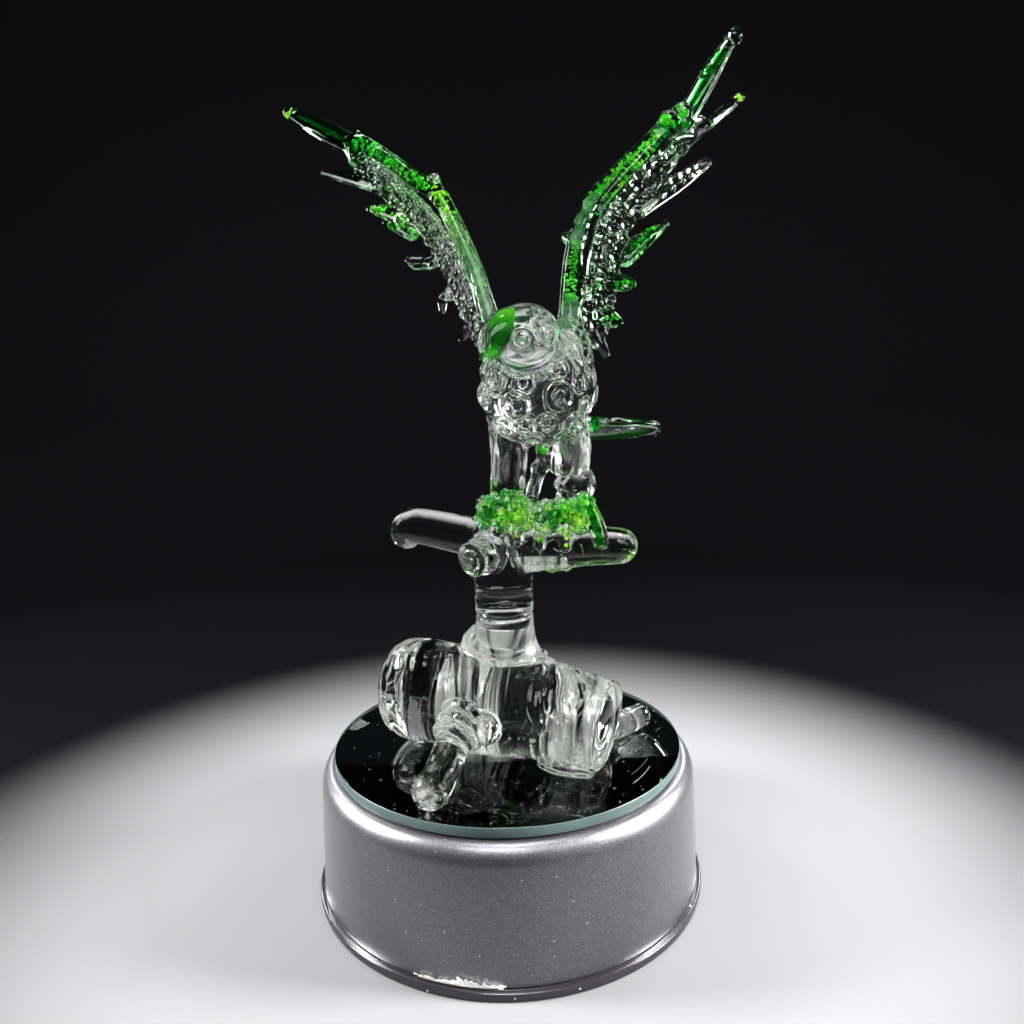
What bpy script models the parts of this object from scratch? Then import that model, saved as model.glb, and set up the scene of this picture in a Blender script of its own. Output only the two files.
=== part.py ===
"""A lampworked glass eagle, wings raised, on a glass branch, standing on a turning base with a mirror top.

Metres, +Z up, origin at the centre of the base's underside, on the axis that the base turns about.
The camera side is -Y. Four solids: base plate, drum shell, mirror top and the fused glass eagle.
"""
import math

import bmesh
import bpy
from mathutils import Matrix, Vector

# Base sizes
PLATE_OVERHANG = 0.0017
PLATE_THICKNESS = 0.0028
STEP_WIDTH = 0.0013
STEP_HEIGHT = 0.0003
BOSS_HEIGHT = 0.0050
DRUM_RADIUS = 0.0675
DRUM_DRAFT = 0.0012
DRUM_WALL = 0.0020
SHOULDER_WIDTH = 0.0044
SHOULDER_HEIGHT = 0.0070
BASE_HEIGHT = 0.0508
MIRROR_MARGIN = 0.0004
MIRROR_THICKNESS = 0.0037
MIRROR_ARRIS = 0.0004
REST_GAP = 0.0003
TURN_GAP = 0.0006
ROUND_STEPS = 64
SHOULDER_STEPS = 5

# The figure: its height from the mirror to the tip of the higher wing, and its proportions in 230 parts of it
FIGURE_HEIGHT = 0.2297
PART = FIGURE_HEIGHT / 230
PERCH_TURN = math.radians(-25)
STAND_X = 0.0002
STAND_Y = -0.0124
FLOOR_SINK = 0.3
LOG_RADIUS = 18.0
LOG_LEFT = -45.5
LOG_RIGHT = 37.5
TRUNK_RADIUS = 9.8
PERCH_UP = 74.0
PERCH_RADIUS = 6.3
LEG_RADIUS = 6.2
LEG_LEFT = 3.4
LEG_RIGHT = 25.4
BODY_ALONG = 12.9
BODY_OVER_PERCH = 50.0
BODY_RADIUS = 17.4
BODY_LENGTH = 23.0
BUMP_COUNT = 84
BUMP_RADIUS = 4.6
BUMP_RISE = 1.3
HEAD_RADIUS = 10.7
TAIL_LENGTH = 44.0
TAIL_WIDTH = 13.0
RIB_COUNT = 5
BAND_DROPS = 9
DROP_RISE = 0.9

# The fused surface: grain of the fusing, how far the seams melt, angles of a rounded rod end, and facets kept
FUSE_GRAIN = 0.75
MELT_PASSES = 3
CAP_ANGLES = (0.38, 0.75, 1.1, 1.4)
EAGLE_TRIANGLES = 6900

# What follows from the sizes
PLATE_RADIUS = DRUM_RADIUS + PLATE_OVERHANG
MIRROR_RADIUS = DRUM_RADIUS - DRUM_DRAFT - SHOULDER_WIDTH - MIRROR_MARGIN
BODY_UP = PERCH_UP + BODY_OVER_PERCH
STAND = Vector((STAND_X, STAND_Y, BASE_HEIGHT + REST_GAP))
TURN = Matrix.Rotation(PERCH_TURN, 3, "Z")


def material(name, color, roughness, metallic=0.0, transmission=0.0):
    """A plain Principled material."""
    made = bpy.data.materials.new(name)
    made.use_nodes = True
    shader = made.node_tree.nodes["Principled BSDF"]
    shader.inputs["Base Color"].default_value = (*color, 1.0)
    shader.inputs["Roughness"].default_value = roughness
    shader.inputs["Metallic"].default_value = metallic
    shader.inputs["Transmission Weight"].default_value = transmission
    return made


def solid(name, bm, finish=None):
    """One named object from a bmesh, with its faces turned outwards and its material, if it has one."""
    bmesh.ops.recalc_face_normals(bm, faces=bm.faces)
    mesh = bpy.data.meshes.new(name)
    bm.to_mesh(mesh)
    bm.free()
    if finish:
        mesh.materials.append(finish)
    made = bpy.data.objects.new(name, mesh)
    bpy.context.scene.collection.objects.link(made)
    return made


def turned(name, profile, finish):
    """A turned solid from its profile of (radius, height) points, which starts and ends on the axis."""
    bm = bmesh.new()
    rings = []
    for radius, height in profile:
        if radius == 0.0:
            rings.append([bm.verts.new((0.0, 0.0, height))])
            continue
        ring = []
        for step in range(ROUND_STEPS):
            angle = math.tau * step / ROUND_STEPS
            ring.append(bm.verts.new((radius * math.cos(angle), radius * math.sin(angle), height)))
        rings.append(ring)
    for lower, upper in zip(rings, rings[1:]):
        for step in range(ROUND_STEPS):
            after = (step + 1) % ROUND_STEPS
            if len(lower) == 1:
                bm.faces.new((lower[0], upper[step], upper[after]))
            elif len(upper) == 1:
                bm.faces.new((lower[step], upper[0], lower[after]))
            else:
                bm.faces.new((lower[step], upper[step], upper[after], lower[after]))
    made = solid(name, bm, finish)
    made.data.shade_smooth()
    made.data.set_sharp_from_angle(angle=math.radians(35))
    return made


def base_plate():
    """The dark bottom plate: a flange under the drum's edge, a low step, and a boss that centres the drum."""
    boss_radius = DRUM_RADIUS - DRUM_WALL - TURN_GAP
    step_radius = PLATE_RADIUS - STEP_WIDTH
    step_top = PLATE_THICKNESS + STEP_HEIGHT
    edge = PLATE_THICKNESS / 4
    profile = [
        (0.0, 0.0),
        (PLATE_RADIUS - edge, 0.0),
        (PLATE_RADIUS, edge),
        (PLATE_RADIUS, PLATE_THICKNESS - edge / 2),
        (PLATE_RADIUS - edge / 2, PLATE_THICKNESS),
        (step_radius, PLATE_THICKNESS),
        (step_radius, step_top),
        (boss_radius, step_top),
        (boss_radius, step_top + BOSS_HEIGHT),
        (0.0, step_top + BOSS_HEIGHT),
    ]
    return turned("base_plate", profile, material("dark_plastic", (0.02, 0.02, 0.022), 0.25))


def drum_shell():
    """The silver cup: open below, flat deck on top, and a rounded shoulder between deck and wall."""
    foot = PLATE_THICKNESS + STEP_HEIGHT + REST_GAP
    deck = BASE_HEIGHT - MIRROR_THICKNESS - REST_GAP
    top_radius = DRUM_RADIUS - DRUM_DRAFT
    ceiling = deck - DRUM_WALL
    shoulder = []
    for step in range(SHOULDER_STEPS + 1):
        angle = math.radians(90) * step / SHOULDER_STEPS
        radius = top_radius - SHOULDER_WIDTH * (1 - math.cos(angle))
        shoulder.append((radius, deck - SHOULDER_HEIGHT * (1 - math.sin(angle))))
    profile = [
        (0.0, ceiling),
        (top_radius - DRUM_WALL - SHOULDER_WIDTH, ceiling),
        (top_radius - DRUM_WALL, deck - SHOULDER_HEIGHT),
        (DRUM_RADIUS - DRUM_WALL, foot),
        (DRUM_RADIUS, foot),
        *shoulder,
        (0.0, deck),
    ]
    return turned("drum_shell", profile, material("silver_paint", (0.55, 0.55, 0.57), 0.32, metallic=0.85))


def mirror_top():
    """The mirror pane on the deck, with its sharp edges taken off."""
    bottom = BASE_HEIGHT - MIRROR_THICKNESS
    inset = MIRROR_RADIUS - MIRROR_ARRIS
    profile = [
        (0.0, bottom),
        (inset, bottom),
        (MIRROR_RADIUS, bottom + MIRROR_ARRIS),
        (MIRROR_RADIUS, BASE_HEIGHT - MIRROR_ARRIS),
        (inset, BASE_HEIGHT),
        (0.0, BASE_HEIGHT),
    ]
    return turned("mirror_top", profile, material("mirror", (0.8, 0.82, 0.81), 0.04, metallic=1.0))


def place(along, forward, up):
    """A point of the figure, in parts: along the perch, forward as the eagle looks, up from the mirror."""
    return STAND + TURN @ Vector((along, -forward, up)) * PART


def heading(along, forward, up):
    """A direction in the figure's frame."""
    return (TURN @ Vector((along, -forward, up))).normalized()


def smooth_rows(rows, steps):
    """Rows of numbers read from the Catmull-Rom curve through them."""
    rows = [Vector(row) for row in rows]
    ends = [2 * rows[0] - rows[1], *rows, 2 * rows[-1] - rows[-2]]
    read = []
    for first, second, third, fourth in zip(ends, ends[1:], ends[2:], ends[3:]):
        for step in range(steps):
            t = step / steps
            bend = 2 * first - 5 * second + 4 * third - fourth
            twist = 3 * second - first - 3 * third + fourth
            read.append((2 * second + (third - first) * t + bend * t ** 2 + twist * t ** 3) / 2)
    return [*read, rows[-1]]


def limb(bm, rows, wide=None, steps=5, sides=14, ends=(1.0, 1.0)):
    """A drawn rod of glass. Each row is (along, forward, up, half width, half thickness), in parts.

    wide is the direction that the half width lies in. ends are how far the two ends are rounded:
    1 is a half ball, and near 0 is a flat cut.
    """
    read = smooth_rows([Vector(row) for row in rows], steps)
    centres = [place(*row[:3]) for row in read]
    last = len(centres) - 1
    side = wide or heading(0.3, 0.2, 1.0)
    rings = []
    for i, (centre, row) in enumerate(zip(centres, read)):
        tangent = (centres[min(i + 1, last)] - centres[max(i - 1, 0)]).normalized()
        side = (side - tangent * side.dot(tangent)).normalized()
        cross = tangent.cross(side)
        rings.append((centre, tangent, side * row[3] * PART, cross * row[4] * PART))
    shaped = []
    for angle in reversed(CAP_ANGLES):
        centre, tangent, a, b = rings[0]
        reach = min(a.length, b.length) * ends[0] * math.sin(angle)
        shaped.append((centre - tangent * reach, a * math.cos(angle), b * math.cos(angle)))
    shaped += [(centre, a, b) for centre, tangent, a, b in rings]
    for angle in CAP_ANGLES:
        centre, tangent, a, b = rings[-1]
        reach = min(a.length, b.length) * ends[1] * math.sin(angle)
        shaped.append((centre + tangent * reach, a * math.cos(angle), b * math.cos(angle)))
    loops = []
    for centre, a, b in shaped:
        loop = []
        for step in range(sides):
            angle = math.tau * step / sides
            loop.append(bm.verts.new(centre + a * math.cos(angle) + b * math.sin(angle)))
        loops.append(loop)
    for lower, upper in zip(loops, loops[1:]):
        for step in range(sides):
            after = (step + 1) % sides
            bm.faces.new((lower[step], lower[after], upper[after], upper[step]))
    bm.faces.new(loops[0])
    bm.faces.new(loops[-1])


def rod(bm, rows, **options):
    """A round rod: each row is (along, forward, up, radius)."""
    limb(bm, [(*row, row[3]) for row in rows], **options)


def lump(bm, along, forward, up, radius, length=None, height=None):
    """An ellipsoid of glass: radius along the perch, length forward, height up."""
    size = Vector((radius, length or radius, height or radius)) * PART
    matrix = Matrix.Translation(place(along, forward, up)) @ TURN.to_4x4() @ Matrix.Diagonal(size).to_4x4()
    bmesh.ops.create_uvsphere(bm, u_segments=20, v_segments=12, radius=1.0, matrix=matrix)


def log_and_roots(bm):
    """The thick log with its waist and swollen right knot, the front root and the small back root."""
    axis_up = LOG_RADIUS - FLOOR_SINK
    right_radius = LOG_RADIUS * 0.83
    rod(bm, [
        (LOG_LEFT + 5, 0, axis_up, LOG_RADIUS - 1.2),
        (LOG_LEFT + 9, 0, axis_up + 0.2, LOG_RADIUS + 0.2),
        (-25, 0, axis_up + 0.2, LOG_RADIUS + 0.3),
        (-20.5, 0, axis_up - 0.3, LOG_RADIUS - 0.9),
        (-16, 0.5, axis_up, LOG_RADIUS + 0.3),
        (-8, 0.5, axis_up, LOG_RADIUS + 0.2),
        (8, 0, axis_up - 0.2, LOG_RADIUS - 0.2),
        (15, 0, axis_up - 1.0, LOG_RADIUS - 1.2),
        (17.5, 0, axis_up - 1.0, LOG_RADIUS - 0.6),
        (26, 0, right_radius - FLOOR_SINK + 1.2, right_radius + 1.0),
        (LOG_RIGHT - 1.5, 0, right_radius - FLOOR_SINK, right_radius),
    ], sides=28, ends=(0.3, 0.12))
    rod(bm, [
        (-7, 10, 20, 7.4),
        (-7.4, 19, 16.4, 7.0),
        (-7.2, 27, 12.4, 6.3),
        (-6.2, 37, 7.8, 6.0),
        (-5.6, 44.5, 6.0, 6.0),
    ])
    for reach, width in ((-1.5, 8.0), (-4.5, 6.6)):
        lump(bm, -7.2 + reach * 0.2, 22 + reach, 17.0 + reach * -0.3, width, width * 0.7, width)
    rod(bm, [(27, -8, 9, 5.4), (33, -22, 5.4, 4.6), (37.2, -34.4, 4.4, 4.3)])


def trunk_and_perch(bm):
    """The upright on its flared foot, the two arms of the perch and the stub cut off towards the front."""
    foot_up = 2 * LOG_RADIUS
    rod(bm, [
        (0, 0, foot_up - 6, 16.5),
        (0, 0, foot_up + 1.5, 15.0),
        (0, 0, foot_up + 6.5, 11.2),
        (0, 0, foot_up + 11, TRUNK_RADIUS),
        (0, 0, foot_up + 17.5, TRUNK_RADIUS - 0.3),
        (0, 0, foot_up + 20, TRUNK_RADIUS),
        (0, 0, PERCH_UP - 7, TRUNK_RADIUS - 0.2),
        (0, 0, PERCH_UP, TRUNK_RADIUS - 1.5),
    ], sides=20)
    rod(bm, [
        (4, 0, PERCH_UP - 0.6, PERCH_RADIUS + 1.6),
        (-15, 0, PERCH_UP + 1.8, PERCH_RADIUS + 0.3),
        (-32, 0, PERCH_UP + 3.8, PERCH_RADIUS - 0.1),
        (-36.5, 0, PERCH_UP + 2.6, PERCH_RADIUS - 0.4),
        (-37.6, 0, PERCH_UP - 1.2, PERCH_RADIUS - 1.6),
    ], ends=(1.0, 0.6))
    rod(bm, [
        (-2, 0, PERCH_UP - 0.6, PERCH_RADIUS + 1.6),
        (18, 0, PERCH_UP - 0.5, PERCH_RADIUS + 2.0),
        (28, 0, PERCH_UP + 0.7, PERCH_RADIUS + 0.4),
        (36, 0, PERCH_UP + 1.3, PERCH_RADIUS - 0.2),
        (40.5, 0, PERCH_UP + 1.5, PERCH_RADIUS - 0.6),
    ])
    rod(bm, [
        (1, 0, PERCH_UP - 0.4, PERCH_RADIUS + 1.2),
        (-0.5, 9, PERCH_UP - 1.2, PERCH_RADIUS + 0.5),
        (-2.4, 18.5, PERCH_UP - 2.2, PERCH_RADIUS - 1.2),
    ], ends=(1.0, 0.15))


def toe(bm, along, forward, up, reach, drop):
    """One toe, from the foot over the front of the perch to its clear tip."""
    rod(bm, [
        (along, forward, up, 2.6),
        (along + reach * 0.6, forward + 4.2, up - drop * 0.25, 2.4),
        (along + reach, forward + 5.2, up - drop, 2.1),
    ], steps=4, sides=10)


def legs_and_feet(bm):
    """Two stout legs with a ring at the right ankle, and the lumpy green feet that grip the perch."""
    grip = PERCH_UP + PERCH_RADIUS
    rod(bm, [
        (LEG_LEFT + 1, -1, BODY_UP - 10, LEG_RADIUS + 0.8),
        (LEG_LEFT, -0.5, BODY_UP - 19, LEG_RADIUS + 0.2),
        (LEG_LEFT - 0.3, 0, BODY_UP - 26, LEG_RADIUS - 0.6),
        (LEG_LEFT - 0.5, 0.5, BODY_UP - 32, LEG_RADIUS - 0.4),
        (LEG_LEFT - 0.5, 1, grip, LEG_RADIUS + 0.4),
    ])
    rod(bm, [
        (LEG_RIGHT - 2, -1, BODY_UP - 10, LEG_RADIUS),
        (LEG_RIGHT - 0.2, -0.5, BODY_UP - 18, LEG_RADIUS - 0.5),
        (LEG_RIGHT, 0, BODY_UP - 24, LEG_RADIUS - 1.2),
        (LEG_RIGHT + 0.4, 0, BODY_UP - 28.6, LEG_RADIUS + 0.3),
        (LEG_RIGHT + 0.2, 0, BODY_UP - 31.6, LEG_RADIUS - 0.2),
        (LEG_RIGHT - 0.5, 1, BODY_UP - 34, LEG_RADIUS - 1.4),
        (LEG_RIGHT - 0.8, 1, grip - 1, LEG_RADIUS + 1.0),
    ])
    for leg, size in ((LEG_LEFT - 1.0, 8.6), (LEG_RIGHT - 1.4, 9.4)):
        lump(bm, leg, 2.6, grip + 4.4, size, 7.6, 6.6)
        lump(bm, leg - size * 0.55, 1.0, grip + 1.8, size * 0.55, 6.2, 5.2)
        lump(bm, leg + size * 0.5, 4.4, grip + 1.4, size * 0.6, 5.6, 5.4)
        for share, reach, drop in ((-0.62, -0.8, 5.2), (0.05, 0.2, 5.8), (0.75, 2.0, 7.0)):
            toe(bm, leg + size * share, 4.0, grip + 3.0, reach, drop)
        toe(bm, leg, -6.0, grip + 2.0, 0.0, 4.0)
    rod(bm, [(11.5, -8, BODY_UP - 15, 3.0), (9.5, -6, BODY_UP - 25, 2.6), (6.5, -4, BODY_UP - 38, 2.2),
             (5.5, -3, grip, 3.0)], sides=10)


def body_and_head(bm):
    """The round body with its applied drops, the neck, the clear head and the hooked beak."""
    lump(bm, BODY_ALONG, -3, BODY_UP, BODY_RADIUS, BODY_LENGTH, BODY_RADIUS)
    golden = math.pi * (3 - math.sqrt(5))
    for i in range(BUMP_COUNT):
        level = 1 - 2 * (i + 0.5) / BUMP_COUNT
        out = math.sqrt(1 - level * level)
        spin = golden * i + 0.4
        normal = Vector((out * math.cos(spin), level, out * math.sin(spin)))
        depth = BUMP_RADIUS - BUMP_RISE
        lump(bm,
             BODY_ALONG + normal.x * (BODY_RADIUS - depth),
             -3 + normal.y * (BODY_LENGTH - depth),
             BODY_UP + normal.z * (BODY_RADIUS - depth),
             BUMP_RADIUS)
    rod(bm, [
        (BODY_ALONG, 2, BODY_UP + 6, 12.5),
        (15.5, 11, BODY_UP + 11, 10.8),
        (17.2, 18, BODY_UP + 15, 10.0),
    ])
    lump(bm, 17.6, 19, BODY_UP + 15.5, HEAD_RADIUS, HEAD_RADIUS * 1.08, HEAD_RADIUS * 0.95)
    rod(bm, [
        (15.6, 23.5, BODY_UP + 18.0, 6.6),
        (14.0, 28.0, BODY_UP + 17.4, 5.4),
        (12.4, 31.5, BODY_UP + 13.6, 3.6),
        (11.6, 31.6, BODY_UP + 9.6, 1.5),
    ])


def tail(bm):
    """The flattened tail that runs back and to the eagle's left, pressed with chevron ribs on both faces."""
    root = Vector((BODY_ALONG + 4.0, -18.0, BODY_UP - 13.0))
    run = Vector((21.0, -TAIL_LENGTH * 0.75, -2.6))
    across = Vector((0.75, 0.55, 0.12)).normalized()
    rows = []
    for share, width, thick in ((-0.25, 7.0, 6.5), (0.1, 9.0, 4.6), (0.45, TAIL_WIDTH, 4.0),
                                (0.75, TAIL_WIDTH * 0.82, 3.4), (1.0, 3.4, 2.6)):
        rows.append((*(root + run * share), width, thick))
    limb(bm, rows, wide=heading(*across))
    for rib in range(RIB_COUNT):
        share = 0.3 + 0.13 * rib
        reach = across * TAIL_WIDTH * (0.8 - 0.1 * rib)
        for face in (-1, 1):
            ridge = root + run * (share - 0.06) + Vector((0, 0, face * (3.7 - 0.25 * rib)))
            ends = [(*(root + run * share + reach * side), 1.2) for side in (-1, 1)]
            rod(bm, [ends[0], (*ridge, 1.5), ends[1]], steps=3, sides=8)


# Each wing. The leading rod: (along, forward, above the body's centre, radius). The band of small drops
# behind it: the same with half width and half thickness. The feathers, outermost first: root, middle, tip,
# half width and half thickness.
RIGHT_LEAD = [
    (19, -4, 9, 5.5), (22.8, -5, 20, 4.2), (23.4, -6, 29, 3.8), (24.4, -6.5, 40, 3.7),
    (26.9, -7.5, 49, 3.7), (30.2, -9, 56.5, 3.6), (37.6, -11, 64.6, 3.2), (47, -13, 73, 2.9),
    (53, -15, 78, 3.7),
]
RIGHT_BAND = [
    (26.5, -9, 15, 5, 3.2), (29.5, -9, 24, 6.2, 3.2), (30.3, -10, 36, 6.4, 3), (33, -11, 47, 6.4, 3),
    (37.8, -13, 56, 6.2, 2.8), (44.6, -14.5, 64, 5.6, 2.6), (51.5, -16, 71.5, 4.6, 2.4),
]
RIGHT_FEATHERS = [
    ((55, -16, 77), (62.4, -22, 92), (67.9, -28, 104), 3.0, 2.2),
    ((54, -18, 73), (62.5, -27, 81.5), (69.3, -34, 88), 2.8, 1.7),
    ((48, -17, 67), (56, -23, 75), (60, -27, 79), 2.5, 1.7),
    ((41, -15, 54), (52, -23, 62.5), (60, -30, 69), 3.6, 2.0),
    ((38, -14, 40), (44, -19, 47), (48.2, -24, 50.6), 3.3, 2.0),
    ((33.5, -12, 33), (36.8, -16, 33), (38.8, -20, 32.8), 3.4, 1.9),
    ((31.5, -11, 23), (33.6, -15, 22), (34.8, -18, 21), 3.6, 2.2),
    ((29, -9, 18), (30.8, -12, 14), (31.8, -14, 11), 2.7, 1.8),
]
LEFT_LEAD = [
    (3, -8, 3, 5), (-4, -8, 16, 4), (-6.6, -8, 25, 3.4), (-8.6, -8.5, 31, 3.2), (-11, -9, 38, 3.1),
    (-16.4, -9.5, 50, 3), (-22.4, -10, 61.5, 3), (-27, -10.5, 67, 3.2), (-34, -11, 71, 2.9),
    (-43.6, -12, 78, 2.8), (-54, -12.5, 84, 3.4), (-59, -13, 86, 3.4),
]
LEFT_BAND = [
    (-4, -11, 7, 4.2, 3), (-10.6, -12, 18, 5.4, 3), (-17, -13, 31, 6, 2.9), (-23.5, -14, 44, 6.2, 2.8),
    (-31, -14.5, 56, 6.4, 2.8), (-40, -14.5, 65, 6.2, 2.6), (-51, -14, 74, 5.6, 2.6),
    (-57.5, -13.5, 80, 4.6, 2.4),
]
LEFT_FEATHERS = [
    ((-56, -13, 83), (-73, -14, 93), (-87, -14, 100.6), 4.0, 2.2),
    ((-50, -15, 71), (-64, -18, 76), (-77, -20, 79.6), 2.7, 1.7),
    ((-43, -15, 60), (-53, -18, 64), (-59, -21, 65.2), 2.5, 1.7),
    ((-38, -15, 54), (-46, -18, 58), (-52.5, -21, 60), 2.5, 1.7),
    ((-30, -14, 44), (-38, -18, 45), (-43.6, -21, 46.4), 3.0, 1.7),
    ((-24, -14, 33), (-28, -17, 32), (-30.2, -20, 28.4), 2.6, 1.9),
    ((-16, -13, 21), (-19.5, -16, 19), (-21.8, -18, 17.6), 2.4, 1.9),
    ((-10, -12, 14), (-12.6, -14, 12), (-14.4, -16, 11.4), 2.2, 1.8),
]


def over_body(row):
    """A row or point of a wing, with its height counted from the mirror."""
    along, forward, above, *rest = row
    return (along, forward, BODY_UP + above, *rest)


def wing(bm, lead, band, feathers, outward):
    """A raised wing: the leading rod, the band of pressed drops and the feathers pulled from its edge."""
    across = Vector((outward * 0.8, -0.55, -0.2)).normalized()
    rod(bm, [over_body(row) for row in lead])
    band_rows = [over_body(row) for row in band]
    limb(bm, band_rows, wide=heading(*across))
    read = smooth_rows(band_rows, BAND_DROPS)
    spacing = (len(read) - 1) // (2 * BAND_DROPS)
    for count in range(1, 2 * BAND_DROPS):
        row = read[count * spacing]
        side = 0.5 if count % 2 else -0.5
        spot = Vector(row[:3]) + across * row[3] * side
        lump(bm, *spot, row[4] + DROP_RISE)
    for root, middle, tip, half_width, half_thickness in feathers:
        limb(bm, [
            (*over_body(root), half_width * 1.05, half_thickness * 1.2),
            (*over_body(middle), half_width, half_thickness),
            (*over_body(tip), half_width * 0.5, half_thickness * 0.8),
        ], wide=heading(-outward * 0.35, -0.5, 0.8))


def contact_cutter():
    """What the floor melts away: everything of the glass below its contact level."""
    bm = bmesh.new()
    bmesh.ops.create_cube(bm, size=1.0)
    depth = 8 * PART
    size = FIGURE_HEIGHT
    bmesh.ops.scale(bm, vec=(size, size, depth), verts=bm.verts)
    bmesh.ops.translate(bm, vec=(STAND.x, STAND.y, STAND.z - depth / 2), verts=bm.verts)
    cutter = solid("contact_cutter", bm)
    cutter.hide_render = True
    cutter.display_type = "WIRE"
    return cutter


def glass_eagle():
    """The whole figurine, modelled as drawn rods and lumps and fused to one solid, as the flame does."""
    bm = bmesh.new()
    log_and_roots(bm)
    trunk_and_perch(bm)
    legs_and_feet(bm)
    body_and_head(bm)
    tail(bm)
    wing(bm, RIGHT_LEAD, RIGHT_BAND, RIGHT_FEATHERS, 1.0)
    wing(bm, LEFT_LEAD, LEFT_BAND, LEFT_FEATHERS, -1.0)
    eagle = solid("glass_eagle", bm, material("clear_glass", (0.93, 0.97, 0.95), 0.02, transmission=1.0))
    fused = eagle.modifiers.new("fused", "REMESH")
    fused.mode = "VOXEL"
    fused.voxel_size = FUSE_GRAIN * PART
    melted = eagle.modifiers.new("melted", "SMOOTH")
    melted.factor = 0.5
    melted.iterations = MELT_PASSES
    depsgraph = bpy.context.evaluated_depsgraph_get()
    fine = eagle.evaluated_get(depsgraph).to_mesh()
    triangles = sum(len(face.vertices) - 2 for face in fine.polygons)
    facets = eagle.modifiers.new("facets", "DECIMATE")
    facets.ratio = min(1.0, EAGLE_TRIANGLES / triangles)
    facets.use_collapse_triangulate = True
    flat = eagle.modifiers.new("contact", "BOOLEAN")
    flat.operation = "DIFFERENCE"
    flat.object = contact_cutter()
    return eagle


for old in list(bpy.data.objects):
    bpy.data.objects.remove(old, do_unlink=True)
base_plate()
drum_shell()
mirror_top()
glass_eagle()
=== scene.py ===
"""The looks of the glass eagle on its turning display base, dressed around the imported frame. Metres, +Z up."""
import math
import random

import bmesh
import bpy
import numpy as np
from mathutils import Matrix, Vector, noise


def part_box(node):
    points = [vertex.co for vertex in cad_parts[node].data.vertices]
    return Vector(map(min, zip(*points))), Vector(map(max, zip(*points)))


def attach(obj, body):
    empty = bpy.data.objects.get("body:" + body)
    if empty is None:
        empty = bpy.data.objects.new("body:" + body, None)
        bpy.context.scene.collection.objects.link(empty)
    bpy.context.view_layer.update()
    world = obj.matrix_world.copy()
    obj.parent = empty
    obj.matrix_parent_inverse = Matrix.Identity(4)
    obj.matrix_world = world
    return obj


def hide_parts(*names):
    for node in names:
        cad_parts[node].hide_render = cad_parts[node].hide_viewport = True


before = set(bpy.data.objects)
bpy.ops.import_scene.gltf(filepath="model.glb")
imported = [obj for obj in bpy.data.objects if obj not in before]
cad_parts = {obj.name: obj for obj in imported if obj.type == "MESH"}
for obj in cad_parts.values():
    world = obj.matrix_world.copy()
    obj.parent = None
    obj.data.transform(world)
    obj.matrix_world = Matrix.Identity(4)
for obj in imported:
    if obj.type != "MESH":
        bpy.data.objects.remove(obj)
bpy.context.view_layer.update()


# The bottom plate: glossy black moulded plastic, a little wider than the cup that turns over it. A low step
# keeps the cup's edge off the flange, and a boss inside the cup centres it. Moulded in one piece.
ROUND_STEPS = 288
MM = 0.001
plate_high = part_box("base_plate")[1]
cup_low, cup_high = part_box("drum_shell")
plate_radius = plate_high.x
flange_top = 2.8 * MM
step_width = 1.3 * MM
step_top = 3.1 * MM
step_edge = 0.1 * MM
boss_radius = cup_high.x - 2.6 * MM
boss_edge = 0.4 * MM
plate_edge = 0.5 * MM


def linked(name, mesh, *finishes):
    """One named object at the origin, with its materials."""
    for finish in finishes:
        mesh.materials.append(finish)
    made = bpy.data.objects.new(name, mesh)
    bpy.context.scene.collection.objects.link(made)
    return made


def arc(centre, radius, start, stop, steps):
    """Points of a round edge on a turned profile: (radius, height), from one angle to another in degrees."""
    points = []
    for step in range(steps + 1):
        angle = math.radians(start + (stop - start) * step / steps)
        points.append((centre[0] + radius * math.cos(angle), centre[1] + radius * math.sin(angle)))
    return points


def turned(name, profile, *finishes, bands=()):
    """A turned piece from its closed or axis-ended profile. bands lists the stretches with the second finish."""
    bm = bmesh.new()
    rings = []
    for radius, height in profile:
        if radius == 0.0:
            rings.append([bm.verts.new((0.0, 0.0, height))])
            continue
        ring = []
        for step in range(ROUND_STEPS):
            angle = math.tau * step / ROUND_STEPS
            ring.append(bm.verts.new((radius * math.cos(angle), radius * math.sin(angle), height)))
        rings.append(ring)
    for number, (lower, upper) in enumerate(zip(rings, rings[1:])):
        for step in range(ROUND_STEPS):
            after = (step + 1) % ROUND_STEPS
            if len(lower) == 1:
                face = bm.faces.new((lower[0], upper[step], upper[after]))
            elif len(upper) == 1:
                face = bm.faces.new((lower[step], upper[0], lower[after]))
            else:
                face = bm.faces.new((lower[step], upper[step], upper[after], lower[after]))
            face.material_index = 1 if number in bands else 0
    bmesh.ops.recalc_face_normals(bm, faces=bm.faces)
    mesh = bpy.data.meshes.new(name)
    bm.to_mesh(mesh)
    bm.free()
    mesh.shade_smooth()
    mesh.set_sharp_from_angle(angle=math.radians(40))
    return linked(name, mesh, *finishes)


def node(tree, kind, inputs=None, **settings):
    """A node with its settings, and its inputs as values or links."""
    made = tree.nodes.new(kind)
    for key, value in settings.items():
        setattr(made, key, value)
    for key, value in (inputs or {}).items():
        if isinstance(value, bpy.types.NodeSocket):
            tree.links.new(value, made.inputs[key])
        else:
            made.inputs[key].default_value = value
    return made


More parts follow.
